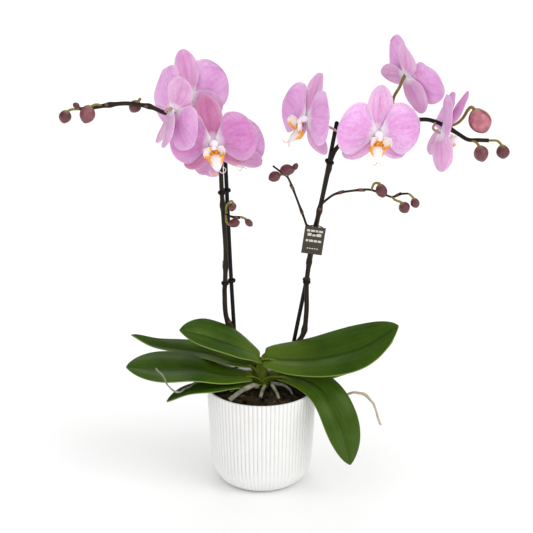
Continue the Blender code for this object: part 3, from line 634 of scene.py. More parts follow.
def soft_inside(weight, *radius):
    """Inputs of a shader that lets light in a little; the radius is in metres by colour."""
    return {"Subsurface Weight": weight, "Subsurface Radius": radius, "Subsurface Scale": 1.0}


def mottle_group():
    """Node group: soft patches and a fine grain, for skins, glazes and plastics."""
    group, start, end = new_group("Mottle", {"Patch Scale": 60.0, "Grain Scale": 900.0},
                                  ("Patches", "Grain"))
    place = at(group, "Object")
    fill(group, end, {0: noisy(group, place, start.outputs[0], 3.0),
                      1: noisy(group, place, start.outputs[1], 2.0)})
    return group


def veins_group():
    """Node group: fine veins that run along a blade and wander, from the blade's UV map."""
    group, start, end = new_group("Veins", {"Count": 30.0, "Wander": 0.03},
                                  ("Veins", "Along", "Off Middle", "Streaks"))
    sheet = at(group, "UV")
    along, wide, _ = split(group, sheet)
    drift = maths(group, "SUBTRACT", noisy(group, sheet, 7.0, 3.0), 0.5)
    fan = product(group, maths(group, "MULTIPLY_ADD", drift, start.outputs[1], wide), start.outputs[0])
    line = ranged(group, maths(group, "PINGPONG", fan, 0.5), 0.24, 0.0)
    broken = ranged(group, noisy(group, sheet, 13.0, 4.0), 0.35, 0.65)
    drawn = node(group, "ShaderNodeMapping", {"Vector": sheet, "Scale": (1.6, 11.0, 1.0)}).outputs[0]
    off_middle = maths(group, "ABSOLUTE", maths(group, "MULTIPLY_ADD", wide, 2.0, -1.0))
    fill(group, end, {0: product(group, line, broken), 1: along, 2: off_middle,
                      3: noisy(group, drawn, 1.0, 4.0)})
    return group


def tepal_finish(name, colour, vein_colour, groups, stripes, centre):
    """Petal or sepal: white at its base, veined, a little paler at its edge."""
    finish, tree, shader = new_finish(name)
    veins = veined(tree, groups, stripes, 0.09)
    patches, _, rough = mottled(tree, groups, 55.0, 1500.0, 0.5, 0.68)
    along, off = veins["Along"], veins["Off Middle"]
    pale = tuple(1.0 - (1.0 - c) * 0.55 for c in colour)
    bands = maths(tree, "ADD", product(tree, patches, 0.35), product(tree, veins["Streaks"], 0.65))
    tone = mixed(tree, ranged(tree, bands, 0.38, 0.62), colour, scaled(colour, 0.86, 0.66, 0.82))
    tone = mixed(tree, ranged(tree, off, 0.6, 1.0, 0.0, 0.4), tone, pale)
    tone = mixed(tree, ranged(tree, along, 0.75, 1.0, 0.0, 0.3), tone, pale)
    strength = product(tree, veins["Veins"], ranged(tree, along, 1.0, 0.1, 0.42, 0.9))
    tone = mixed(tree, strength, tone, vein_colour)
    middle = product(tree, ranged(tree, off, 0.2, 0.0), ranged(tree, along, 1.0, 0.3, 0.0, centre))
    tone = mixed(tree, middle, tone, vein_colour)
    tone = mixed(tree, ranged(tree, along, 0.01, 0.15, 0.95, 0.0), tone, (0.97, 0.93, 0.97))
    fill(tree, shader, {"Base Color": tone, "Roughness": rough, "Sheen Weight": 0.12,
                        **soft_inside(0.35, 0.004, 0.002, 0.003)})
    bump_on(tree, shader, maths(tree, "MULTIPLY_ADD", veins["Veins"], -0.7, patches), 0.0012, 0.7)
    return finish


def lip_finish(name, groups):
    """Lip lobes: cream white dimmed a little to grey as painted shade, with yellow edges at the base and
    fine red lines at the throat.
    """
    finish, tree, shader = new_finish(name)
    veins = veined(tree, groups, 14.0, 0.05)
    patches, _, rough = mottled(tree, groups, 120.0, 1400.0, 0.35, 0.5)
    along, off = veins["Along"], veins["Off Middle"]
    # cream white in soft patches; the grey in it is painted shade
    tone = mixed(tree, patches, (0.9, 0.85, 0.84), (0.84, 0.76, 0.76))
    tone = mixed(tree, ranged(tree, along, 0.7, 1.0, 0.0, 0.35), tone, (0.86, 0.55, 0.75))
    skirt = product(tree, ranged(tree, off, 0.45, 0.75), ranged(tree, along, 0.62, 0.42))
    tone = mixed(tree, skirt, tone, (0.9, 0.38, 0.01))
    throat = product(tree, veins["Veins"], ranged(tree, along, 0.42, 0.12))
    tone = mixed(tree, throat, tone, (0.35, 0.03, 0.04))
    fill(tree, shader, {"Base Color": tone, "Roughness": rough, **soft_inside(0.2, 0.003, 0.002, 0.002)})
    bump_on(tree, shader, patches, 0.0006, 0.4)
    return finish


def leaf_finish(name, colour, groups):
    """Leaf: waxy green with fine lengthwise veins, painted shade in the midrib groove and a pale edge."""
    finish, tree, shader = new_finish(name)
    veins = veined(tree, groups, 46.0, 0.02)
    patches, _, rough = mottled(tree, groups, 26.0, 700.0, 0.3, 0.42)
    along, off = veins["Along"], veins["Off Middle"]
    dark = scaled(colour, 0.5, 0.58, 0.7)
    bands = maths(tree, "ADD", product(tree, patches, 0.5), product(tree, veins["Streaks"], 0.5))
    tone = mixed(tree, ranged(tree, bands, 0.34, 0.6), dark, scaled(colour, 1.15, 1.12, 1.0))
    tone = mixed(tree, ranged(tree, along, 0.3, 0.0, 0.0, 0.6), tone, (0.1, 0.16, 0.012))
    tone = mixed(tree, product(tree, veins["Veins"], 0.3), tone, scaled(colour, 2.0, 1.7, 2.0))
    # painted shade: the midrib groove darkened
    tone = mixed(tree, ranged(tree, off, 0.05, 0.0, 0.0, 0.6), tone, dark)
    tone = mixed(tree, ranged(tree, off, 0.955, 1.0, 0.0, 0.85), tone, (0.2, 0.27, 0.06))
    fill(tree, shader, {"Base Color": tone, "Roughness": rough, "Specular IOR Level": 0.42,
                        "Specular Tint": (0.9, 1.0, 0.45, 1.0)})
    bump_on(tree, shader, maths(tree, "MULTIPLY_ADD", veins["Veins"], -0.35, patches), 0.0011, 0.35)
    return finish


def skin_finish(name, first, second, groups, patch, rough, relief, streak=1.0):
    """Stem, root, bark or plastic: two colours in patches drawn out along Z, with a fine grain."""
    finish, tree, shader = new_finish(name)
    patches, _, roughness = mottled(tree, groups, patch, patch * 14.0, rough - 0.08, rough + 0.08)
    drawn = node(tree, "ShaderNodeMapping", {"Vector": at(tree, "Object"), "Scale": (1.0, 1.0, streak)})
    streaks = noisy(tree, drawn.outputs[0], patch * 4.0, 4.0)
    both = maths(tree, "ADD", product(tree, patches, 0.6), product(tree, streaks, 0.4))
    tone = mixed(tree, ranged(tree, both, 0.36, 0.64), first, second)
    fill(tree, shader, {"Base Color": tone, "Roughness": roughness, "Specular IOR Level": 0.2})
    bump_on(tree, shader, both, relief, 0.6)
    return finish


def bud_finish(colour, groups):
    """Bud: dusky pink, darker while it is small, with a green foot, a dark tip and fine veins."""
    finish, tree, shader = new_finish("bud_skin")
    patches, _, rough = mottled(tree, groups, 160.0, 2500.0, 0.36, 0.5)
    around, height, _ = split(tree, at(tree, "UV"))
    stripe = maths(tree, "PINGPONG", product(tree, around, 27.0), 0.5)
    ripe = node(tree, "ShaderNodeAttribute", attribute_name="ripe").outputs["Fac"]
    seam = node(tree, "ShaderNodeAttribute", attribute_name="seam").outputs["Fac"]
    dark_tint = scaled(colour, 0.55)
    pale = tuple(min(1.0, c * 1.5 + 0.04) for c in colour)
    old = mixed(tree, ranged(tree, patches, 0.35, 0.65), colour, pale)
    tone = mixed(tree, ripe, scaled(colour, 0.28, 0.15, 0.16), old)
    tone = mixed(tree, ranged(tree, stripe, 0.2, 0.0, 0.0, 0.4), tone, dark_tint)
    tone = mixed(tree, product(tree, seam, 0.9), tone, scaled(dark_tint, 0.5, 0.4, 0.5))
    tone = mixed(tree, ranged(tree, height, 0.62, 0.95, 0.0, 0.85), tone, scaled(dark_tint, 0.6, 0.5, 0.5))
    tone = mixed(tree, ranged(tree, height, 0.3, 0.02, 0.0, 0.8), tone, (0.33, 0.3, 0.1))
    fill(tree, shader, {"Base Color": tone, "Roughness": rough, "Specular IOR Level": 0.7,
                        **soft_inside(0.15, 0.003, 0.0015, 0.0015)})
    bump_on(tree, shader, maths(tree, "ADD", stripe, patches), 0.0005, 0.4)
    return finish


def pot_finish(colour, groups):
    """Pot: white satin glaze, a little uneven, with painted shade in the grooves and duller at the foot."""
    finish, tree, shader = new_finish("pot_glaze")
    patches, grain, rough = mottled(tree, groups, 30.0, 1100.0, 0.38, 0.48)
    x, y, height = split(tree, at(tree, "Object"))
    turn = maths(tree, "MULTIPLY_ADD", maths(tree, "ARCTAN2", y, x), FLUTES / (2 * math.pi), FLUTES + 0.5)
    ridge = maths(tree, "PINGPONG", turn, 0.5)
    reach = maths(tree, "SQRT", maths(tree, "ADD", product(tree, x, x), product(tree, y, y)))
    # painted shade: the grooves between the flutes on the outside darkened to grey
    wall = product(tree, ranged(tree, ridge, 0.17, 0.03, 0.0, 0.42),
                   ranged(tree, reach, POT_RADIUS - 7.5 * MM, POT_RADIUS - 5.5 * MM))
    tone = mixed(tree, ranged(tree, patches, 0.3, 0.7), colour, scaled(colour, 0.965))
    tone = mixed(tree, wall, tone, (0.46, 0.44, 0.4))
    tone = mixed(tree, ranged(tree, height, 0.006, 0.0, 0.0, 0.35), tone, (0.6, 0.58, 0.54))
    fill(tree, shader, {"Base Color": tone, "Roughness": rough})
    bump_on(tree, shader, grain, 0.00015, 0.3)
    return finish


def clear_finish(groups):
    """Grow pot: clear plastic, scuffed in patches."""
    finish, tree, shader = new_finish("clear_plastic")
    patches, _, alpha = mottled(tree, groups, 45.0, 900.0, 0.3, 0.4)
    tone = mixed(tree, patches, (0.72, 0.76, 0.74), (0.82, 0.85, 0.83))
    fill(tree, shader, {"Base Color": tone, "Alpha": alpha,
                        "Roughness": ranged(tree, patches, 0.35, 0.7, 0.12, 0.3)})
    return finish


BLACK = ((0.002, 0.002, 0.002), (0.006, 0.006, 0.006))
SKINS = {
    # finish: material, its two colours, patches, roughness, relief in metres, and draw along Z
    "bark": ("bark_brown", (0.009, 0.006, 0.002), (0.034, 0.023, 0.009), 70.0, 0.88, 0.0016),
    "chip_dark": ("bark_chip_dark", (0.009, 0.006, 0.002), (0.038, 0.026, 0.01), 130.0, 0.85, 0.0012, 0.3),
    "chip_light": ("bark_chip_light", (0.018, 0.012, 0.005), (0.075, 0.05, 0.02), 130.0, 0.85, 0.0012, 0.3),
    "crown": ("crown_green", (0.05, 0.09, 0.004), (0.17, 0.19, 0.015), 50.0, 0.45, 0.0006, 0.25),
    "root_tip": ("root_pale", (0.6, 0.5, 0.38), (0.4, 0.33, 0.24), 60.0, 0.7, 0.0009, 0.6),
    "bract": ("bract_pink", (0.07, 0.03, 0.022), (0.17, 0.08, 0.055), 120.0, 0.6, 0.0005, 0.3),
    "stalk": ("stalk_olive", (0.24, 0.22, 0.03), (0.17, 0.11, 0.03), 90.0, 0.45, 0.0003),
    "pedicel": ("pedicel_pink", (0.4, 0.25, 0.2), (0.62, 0.36, 0.42), 45.0, 0.45, 0.0003, 0.4),
    "stake": ("stake_black", *BLACK, 120.0, 0.4, 0.0003, 0.06),
    "clip": ("clip_black", *BLACK, 160.0, 0.32, 0.0002),
    "print": ("card_print", (0.62, 0.6, 0.55), (0.5, 0.48, 0.43), 500.0, 0.6, 0.0001),
    "column": ("column_white", (0.93, 0.88, 0.92), (0.88, 0.72, 0.85), 120.0, 0.4, 0.0002),
    "callus": ("callus_yellow", (0.9, 0.4, 0.01), (0.5, 0.09, 0.01), 260.0, 0.35, 0.0004),
    "throat": ("throat_red", (0.33, 0.06, 0.03), (0.6, 0.28, 0.3), 400.0, 0.45, 0.0004),
}


def make_finishes():
    """Every material, from the settings."""
    pot = bpy.context.scene.orchid_pot
    plant = bpy.context.scene.orchid_plant
    groups = {"mottle": mottle_group(), "veins": veins_group()}
    root, stem, card = tuple(plant.root), tuple(plant.stem), tuple(pot.card)
    skins = {
        **SKINS,
        "root": ("root_silver", root, scaled(root, 0.28), 60.0, 0.75, 0.0009, 0.6),
        "stem": ("stem_brown", stem, scaled(stem, 2.6, 2.4, 1.5), 70.0, 0.45, 0.0003, 0.2),
        "tag": ("card_dark", card, scaled(card, 1.25), 260.0, 0.55, 0.0002),
    }
    made = {key: skin_finish(*skin[:3], groups, *skin[3:]) for key, skin in skins.items()}
    made["pot"] = pot_finish(tuple(pot.glaze), groups)
    made["grow_pot"] = clear_finish(groups)
    made["leaf"] = leaf_finish("leaf_green", tuple(plant.leaf), groups)
    made["bud"] = bud_finish(tuple(plant.bud), groups)
    made["lip"] = lip_finish("lip_white", groups)
    # the darkest tint makes painted-shade copies of the petal and sepal finishes
    for depth, (petal, sepal, vein) in TINTS.items():
        made["petal_" + depth] = tepal_finish("petal_" + depth, petal, vein, groups, 34.0, 0.0)
        made["sepal_" + depth] = tepal_finish("sepal_" + depth, sepal, vein, groups, 22.0, 0.4)
    return made


# ---------------------------------------------------------------- pot, bark, crown, roots

def pot_radius(height):
    """Outer radius of the cover pot over its flutes."""
    if height >= SHOULDER_HEIGHT:
        share = (height - SHOULDER_HEIGHT) / (POT_HEIGHT - SHOULDER_HEIGHT)
        return SHOULDER_RADIUS + (POT_RADIUS - SHOULDER_RADIUS) * share
    drop = 1.0 - height / SHOULDER_HEIGHT
    return FOOT_RADIUS + (SHOULDER_RADIUS - FOOT_RADIUS) * math.sqrt(1.0 - drop * drop)


class ORCHID_OT_pot(bpy.types.Operator):
    """Cover pot: turned by extruding a disc, its flutes pressed into the outside"""
    bl_idname = "orchid.pot"
    bl_label = "Cover pot"

    def execute(self, context):
        settings = context.scene.orchid_pot
        steps = FLUTES * FLUTE_STEPS
        start_piece()
        bpy.ops.mesh.primitive_circle_add(vertices=steps, radius=FOOT_DISC, fill_type="NGON",
                                          location=(0, 0, 0))
        pot = context.object
        outside = (0.8, 2.2, 4.5, 8, 12, 17, 23, 30, 38, 50, 65, 80, 95, 110, 122, 127, 129.2)
        lip = pot_radius(POT_HEIGHT)
        floor = pot_radius(6 * MM) - settings.wall
        profile = [(pot_radius(z * MM), z * MM) for z in outside]
        profile += [(lip - 0.5 * MM, POT_HEIGHT), (lip - settings.wall + 0.5 * MM, POT_HEIGHT),
                    (lip - settings.wall, POT_HEIGHT - 0.8 * MM)]
        profile += [(pot_radius(z * MM) - settings.wall, z * MM) for z in (110, 80, 50, 38, 26, 17, 11)]
        profile += [(floor - 2 * MM, 5.6 * MM), (floor - 5 * MM, 5 * MM)]
        edit(pot)
        bpy.ops.mesh.select_all(action="SELECT")
        radius, height = FOOT_DISC, 0.0
        for wide, high in profile:
            bpy.ops.mesh.extrude_region_move(TRANSFORM_OT_translate={"value": (0, 0, high - height)})
            share = wide / radius
            bpy.ops.transform.resize(value=(share, share, 1.0), center_override=(0, 0, high))
            radius, height = wide, high
        bpy.ops.mesh.select_all(action="SELECT")
        bpy.ops.mesh.normals_make_consistent(inside=False)
        shares = (0.0, 0.04, 0.2, 0.6, 1.0, 0.6, 0.2, 0.04)
        for depth in sorted(set(shares) - {0.0}):
            groove = {k for k, share in enumerate(shares) if share == depth}

            def pressed(co):
                reach = math.hypot(co.x, co.y)
                if not 1.5 * MM < co.z < POT_HEIGHT - 0.1 * MM or reach < pot_radius(co.z) - 0.3 * MM:
                    return False
                return round(math.atan2(co.y, co.x) / (2 * math.pi) * steps) % FLUTE_STEPS in groove

            pick(pot, pressed)
            share = 1.0 - settings.flute_depth * depth / (62 * MM)
            bpy.ops.transform.resize(value=(share, share, 1.0), center_override=(0, 0, 0))
        bpy.ops.object.mode_set(mode="OBJECT")
        finish_piece(pot, "cover_pot", "pot", ("pot",), 50)
        return {"FINISHED"}


class ORCHID_OT_bark(bpy.types.Operator):
    """Grow pot and bark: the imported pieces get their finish, and loose chips cover the top"""
    bl_idname = "orchid.bark"
    bl_label = "Grow pot and bark"

    def execute(self, context):
        wear(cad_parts["grow_pot"], "grow_pot")
        wear(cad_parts["bark_mix"], "bark")
        lumps = []
        for index, size in enumerate(((18, 10, 5), (13, 11, 6), (25, 9, 4.5))):
            start_piece()
            bpy.ops.mesh.primitive_cube_add(size=1.0, location=(0, 0, 0))
            lump = context.object
            edit(lump)
            bpy.ops.mesh.select_all(action="SELECT")
            bpy.ops.transform.resize(value=tuple(s * MM for s in size))
            bpy.ops.mesh.subdivide(number_cuts=2, smoothness=0.3)
            bpy.ops.transform.vertex_random(offset=0.9 * MM, uniform=0.3, normal=0.2, seed=11 + index)
            bpy.ops.object.mode_set(mode="OBJECT")
            lumps.append(lump)
        chance = random.Random(5)
        chips = []
        for index in range(context.scene.orchid_pot.chips):
            chip = copy_piece(lumps[index % 3], f"chip_{index}")
            reach = 57 * MM * math.sqrt(chance.random())
            angle = chance.uniform(0, 2 * math.pi)
            turn = Matrix.Rotation(chance.uniform(0, 6.28), 4, "Z")
            turn = turn @ Matrix.Rotation(chance.gauss(0, 0.35), 4, "X")
            turn = turn @ Matrix.Rotation(chance.gauss(0, 0.3), 4, "Y")
            turn = turn @ Matrix.Scale(chance.uniform(0.55, 1.15), 4)
            rise = BARK_TOP + chance.uniform(0.5, 4.0) * MM
            spot = Matrix.Translation((reach * math.cos(angle), reach * math.sin(angle), rise))
            chip.data.transform(spot @ turn)
            wear(chip, "chip_dark", "chip_light", second=chance.random() < 0.4)
            chips.append(chip)
        for lump in lumps:
            bpy.data.objects.remove(lump)
        finish_piece(join(chips, "bark_chips"), "bark_chips", None, (), 30)
        return {"FINISHED"}


class ORCHID_OT_crown(bpy.types.Operator):
    """Crown: a clasping sheath under each leaf, round a short stem"""
    bl_idname = "orchid.crown"
    bl_label = "Crown"

    def execute(self, context):
        start_piece()
        bpy.ops.mesh.primitive_uv_sphere_add(segments=24, ring_count=14, radius=1.0,
                                             location=(0, 0, BARK_TOP + 17 * MM))
        core = context.object
        core.scale = (10.5 * MM, 8 * MM, 21 * MM)
        bpy.ops.object.transform_apply(location=True, rotation=False, scale=True)
        sheaths = [core]
        ends = [(name, at_plant(data[0][0]), at_plant(data[0][1])) for name, data in LEAVES.items()]
        ends.append(("leaf_drooping_right", past_rim(*DROOPING_LEAF[0]), past_rim(*DROOPING_LEAF[1])))
        for name, near, beyond in ends:
            side = 1 if beyond.x > 0 else -1
            low = Vector((side * 2 * MM, near.y * 0.25, BARK_TOP + 1.0 * MM))
            middle = Vector((side * 7 * MM, near.y * 0.5, BARK_TOP + (near.z - BARK_TOP) * 0.55))
            sink = Vector((0, 0, 2.6 * MM))
            path = [low, middle, near - sink, near.lerp(beyond, 0.45) - sink]
            blade = laid_blade("sheath_" + name, path, 14.5, 0.5, (0, 0), (60, 26), (12, 10), 0.75, 0.5)
            sheaths.append(thicken(blade, 2.6 * MM))
        finish_piece(join(sheaths, "crown_sheaths"), "crown_sheaths", "crown", ("crown",), 60)
        return {"FINISHED"}


class ORCHID_OT_roots(bpy.types.Operator):
    """Roots: knobbly silver roots over the bark and two aerial ones"""
    bl_idname = "orchid.roots"
    bl_label = "Roots"

    def execute(self, context):
        lines = {name: ([at_plant(p) for p in points], first, last)
                 for name, (points, first, last) in ROOTS.items()}
        lines["aerial_root_right"] = ([past_rim(*p) for p in AERIAL_ROOT_RIGHT], 2.2, 1.4)
        for index, points in enumerate(ROOTLETS):
            lines[f"rootlet_{index}"] = ([at_plant(p) for p in points], 2.3, 1.6)
        noise.seed_set(ROOT_WOBBLE_SEED)
        for name, (points, first, last) in lines.items():
            root = add_rod(name, smooth_path(points, 1.5 * MM), first * MM, last * MM, 12)
            for vert in root.data.vertices:
                wobble = noise.noise_vector(vert.co * 90.0) * 1.5 + noise.noise_vector(vert.co * 420.0) * 0.3
                vert.co += wobble * MM
            stands_for = () if name.startswith("rootlet") else (name,)
            finish = "root_tip" if name == "aerial_root_right" else "root"
            finish_piece(root, name + "_skin", finish, stands_for, 70)
        return {"FINISHED"}


# ---------------------------------------------------------------- leaves

def laid_blade(name, spine, half_width, widest, roll, fold, grid, base, tip):
    """A folded strap blade laid along its midrib."""
    rows = grid[0]
    blade = add_blade(name, 1.0, half_width * MM, widest, base, grid, tip)
    shares = across(blade)
    heading = (spine[-1] - spine[0]).normalized()
    level = heading.cross(Vector((0, 0, 1)))
    path = resampled(spine, [stretched(i / rows) for i in range(rows + 1)])
    for vert, (even, wide) in zip(blade.data.vertices, shares):
        i = round(even * rows)
        t = stretched(even)
        ahead = (path[min(i + 1, rows)] - path[max(i - 1, 0)]).normalized()
        side = (level - ahead * level.dot(ahead)).normalized()
        turn = math.radians(roll[0] + (roll[1] - roll[0]) * t)
        side.rotate(Matrix.Rotation(turn if side.y < 0 else -turn, 3, ahead))
        over = side.cross(ahead)
        half = half_width * MM * outline(t, widest, base, tip)
        lean = math.radians(fold[0] + (fold[1] - fold[0]) * t)
        out = abs(wide)
        crease = 0.06 * (1.0 - math.exp(-out * 14.0)) * half
        swell = 0.13 * half * math.sin(math.pi * out) * (1.0 - 0.4 * t)
        wave = 0.7 * MM * out * out * math.sin(t * 11.0 + wide * 1.7 + half * 90.0)
        vert.co = (path[i] + side * (wide * half * math.cos(lean))
                   + over * (out * half * math.sin(lean) * 0.82 + crease + swell + wave - 0.05 * half))
    return blade


class ORCHID_OT_leaves(bpy.types.Operator):
    """Leaves: seven strap leaves, folded along the midrib"""
    bl_idname = "orchid.leaves"
    bl_label = "Leaves"

    def execute(self, context):
        leaves = {name: ([at_plant(p) for p in data[0]], *data[1:]) for name, data in LEAVES.items()}
        leaves["leaf_drooping_right"] = ([past_rim(*p) for p in DROOPING_LEAF], 25, 0.58, (20, 32), (10, 4))
        for name, (spine, half, widest, roll, fold) in leaves.items():
            blade = laid_blade(name, spine, half, widest, roll, fold, LEAF_GRID, 0.42, 0.76)
            thicken(blade, context.scene.orchid_plant.leaf_thickness)
            finish_piece(blade, name + "_blade", "leaf", (name,), 60)
        return {"FINISHED"}


# ---------------------------------------------------------------- stakes, stems, buds, clips, tag

class ORCHID_OT_stakes(bpy.types.Operator):
    """Stakes: two plain rods with rounded tops"""
    bl_idname = "orchid.stakes"
    bl_label = "Stakes"

    def execute(self, context):
        for name, points in STAKES.items():
            path = smooth_path([at_plant(p) for p in points], 12 * MM)
            stake = add_rod(name, path, STAKE_RADIUS, None, 16)
            tip = path[-1]
            edit(stake)
            pick(stake, lambda co: (co - tip).length < STAKE_RADIUS + 0.2 * MM)
            ahead = (path[-1] - path[-2]).normalized() * 1.2 * MM
            bpy.ops.mesh.extrude_region_move(TRANSFORM_OT_translate={"value": tuple(ahead)})
            bpy.ops.transform.resize(value=(0.6, 0.6, 0.6), center_override=tuple(tip + ahead))
            bpy.ops.object.mode_set(mode="OBJECT")
            finish_piece(stake, name + "_rod", "stake", (name,), 50)
        return {"FINISHED"}


class ORCHID_OT_stems(bpy.types.Operator):
    """Flower spikes and side branches, swollen at the joints, with a bract at each"""
    bl_idname = "orchid.stems"
    bl_label = "Flower spikes"

    def execute(self, context):
        for name, (thick, points) in STEMS.items():
            path = smooth_path([at_plant(p) for p in points], 3 * MM)
            STEM_PATHS[name] = path
            stem = add_rod(name, path, thick * MM, 0.75 * thick * MM, 14, BRACTS[name])
            finish_piece(stem, name + "_stem", "stem", (name,), 60)
            bracts = []
            for share in BRACTS[name]:
                spot = min(len(path) - 2, max(1, round(share * (len(path) - 1))))
                ahead = (path[spot + 1] - path[spot - 1]).normalized()
                width = thick * MM * (1.0 - 0.28 * share) + 0.75 * MM
                start_piece()
                bpy.ops.mesh.primitive_cone_add(vertices=14, radius1=width, radius2=width * 0.86,
                                                depth=5.5 * MM, end_fill_type="NOTHING",
                                                location=(0, 0, 2.0 * MM))
                bract = context.object
                edit(bract)
                pick(bract, lambda co, w=width: co.x > 0.4 * w and co.z > 2.0 * MM)
                bpy.ops.transform.translate(value=(0.9 * MM, 0, 2.6 * MM))
                pick(bract, lambda co, w=width: co.x < -0.4 * w and co.z > 2.0 * MM)
                bpy.ops.transform.translate(value=(0.2 * MM, 0, -1.8 * MM))
                bpy.ops.object.mode_set(mode="OBJECT")
                thicken(bract, 0.4 * MM)
                turn = ahead.to_track_quat("Z", "Y").to_matrix().to_4x4()
                turn = turn @ Matrix.Rotation(7.3 * share, 4, "Z")
                bract.data.transform(Matrix.Translation(path[spot]) @ turn)
                bract.matrix_world = Matrix.Identity(4)
                bracts.append(bract)
            finish_piece(join(bracts, name + "_bracts"), name + "_bracts", "bract", (), 60)
        return {"FINISHED"}


class ORCHID_OT_buds(bpy.types.Operator):
    """Buds: pointed eggs with three seams, on short stalks"""
    bl_idname = "orchid.buds"
    bl_label = "Buds"

    def execute(self, context):
        start_piece()
        bpy.ops.mesh.primitive_uv_sphere_add(segments=36, ring_count=22, radius=0.5, location=(0, 0, 0))
        pattern = context.object
        seams = pattern.data.attributes.new("seam", "FLOAT", "POINT")
        for vert, mark in zip(pattern.data.vertices, seams.data):
            azimuth = math.atan2(vert.co.y, vert.co.x)
            high = vert.co.z * 2.0
            seam = math.exp(-(math.sin(azimuth * 1.5 + 0.4 * high) / 0.15) ** 2)
            mark.value = seam
            narrow = 1.0 - 0.3 * max(0.0, high) ** 3 - 0.16 * max(0.0, -high) ** 2
            belly = 1.0 + 0.06 * math.cos(3.0 * azimuth + high)
            vert.co.x *= narrow * belly * (1.0 - 0.1 * seam)
            vert.co.y *= narrow * belly * (1.0 - 0.1 * seam)
        for stem, buds in BUDS.items():
            eggs, stalks = [], []
            for index, (stalk, centre, length, width) in enumerate(buds):
                points = [at_plant(p) for p in stalk]
                middle = at_plant(centre)
                axis = (middle - points[-1]).normalized()
                egg = copy_piece(pattern, f"bud_{stem}_{index}")
                ripe = min(1.0, max(0.0, (length - 19) / 14))
                marks = egg.data.attributes.new("ripe", "FLOAT", "POINT")
                marks.data.foreach_set("value", [ripe] * len(egg.data.vertices))
                turn = axis.to_track_quat("Z", "Y").to_matrix().to_4x4()
                turn = turn @ Matrix.Rotation(1.1 * index, 4, "Z")
                size = Matrix.Diagonal((width * MM, width * MM, length * MM, 1.0))
                egg.data.transform(Matrix.Translation(middle) @ turn @ size)
                eggs.append(egg)
                foot = middle - axis * length * MM * 0.45
                thick = 1.0 + 0.02 * length
                stalks.append(add_rod("stalk", smooth_path([*points, foot], 2 * MM), thick * MM,
                                      1.25 * thick * MM, 12))
            finish_piece(join(eggs, "buds"), "buds_" + stem, "bud", (), 60)
            finish_piece(join(stalks, "stalks"), "bud_stalks_" + stem, "stalk", (), 60)
        bpy.data.objects.remove(pattern)
        return {"FINISHED"}


class ORCHID_OT_clips(bpy.types.Operator):
    """Clips: a ring round the stake and one round the stem, joined by a bridge"""
    bl_idname = "orchid.clips"
    bl_label = "Clips"

    def execute(self, context):
        for name, places in CLIPS.items():
            first, second = (at_plant(p) for p in places)
            rings = []
            for place in (first, second):
                start_piece()
                bpy.ops.mesh.primitive_torus_add(major_segments=32, minor_segments=12, major_radius=4.0 * MM,
                                                 minor_radius=1.1 * MM, location=place)
                ring = context.object
                ring.scale.z = 1.9
                rings.append(ring)
            start_piece()
            bpy.ops.mesh.primitive_cube_add(size=1.0, location=(first + second) / 2)
            bridge = context.object
            along = second - first
            bridge.scale = (max(along.length - 7.6 * MM, 1.2 * MM), 3.4 * MM, 3.2 * MM)
            bridge.rotation_euler.z = math.atan2(along.y, along.x)
            round_corners(bridge, 0.25, 3)
            rings.append(bridge)
            finish_piece(join(rings, name), name + "_band", "clip", (name,), 50)
        return {"FINISHED"}


class ORCHID_OT_tag(bpy.types.Operator):
    """Care tag: a dark card with plain printed bars, on a black band"""
    bl_idname = "orchid.tag"
    bl_label = "Care tag"

    def execute(self, context):
        tilt = Matrix.Translation(at_plant(CARD_PLACE)) @ Matrix.Rotation(math.radians(CARD_TILT), 4, "Y")
        start_piece()
        bpy.ops.mesh.primitive_cube_add(size=1.0, location=(0, 0, 0))
        card = context.object
        edit(card)
        bpy.ops.mesh.select_all(action="SELECT")
        bpy.ops.transform.resize(value=tuple(side * MM for side in CARD))
        bpy.ops.object.mode_set(mode="OBJECT")
        round_corners(card, 0.3 * MM, 2)
        card.data.transform(tilt)
        wear(card, "tag", "print")
        pieces = [card]
        for height, tall, widths in BARS:
            cursor = -(sum(widths) + len(widths) - 1) / 2
            for width in widths:
                start_piece()
                bpy.ops.mesh.primitive_cube_add(size=1.0, location=(0, 0, 0))
                bar = context.object
                size = Matrix.Diagonal((width * MM, 0.16 * MM, tall * MM, 1.0))
                spot = Matrix.Translation(((cursor + width / 2) * MM, -0.42 * MM, height * MM))
                bar.data.transform(tilt @ spot @ size)
                wear(bar, "tag", "print", second=True)
                pieces.append(bar)
                cursor += width + 1
        start_piece()
        bpy.ops.mesh.primitive_torus_add(major_segments=48, minor_segments=10, major_radius=11.5 * MM,
                                         minor_radius=0.7 * MM, location=at_plant((66, 10, 217)))
        band = context.object
        band.scale.y = 16.5 / 11.5
        bpy.ops.object.transform_apply(location=True, rotation=False, scale=True)
        wear(band, "clip")
        finish_piece(join([*pieces, band], "care_tag"), "care_tag", None, ("tag",), 40)
        return {"FINISHED"}


# ---------------------------------------------------------------- flowers

def flower_axes(centre, face, top):
    """The matrix that places a flower: X right, Y to its top, Z out of its face."""
    out = Vector(face).normalized()
    up = Vector(top)
    up = (up - out * up.dot(out)).normalized()
    axes = Matrix((up.cross(out), up, out)).transposed().to_4x4()
    axes.translation = at_plant(centre)
    return axes


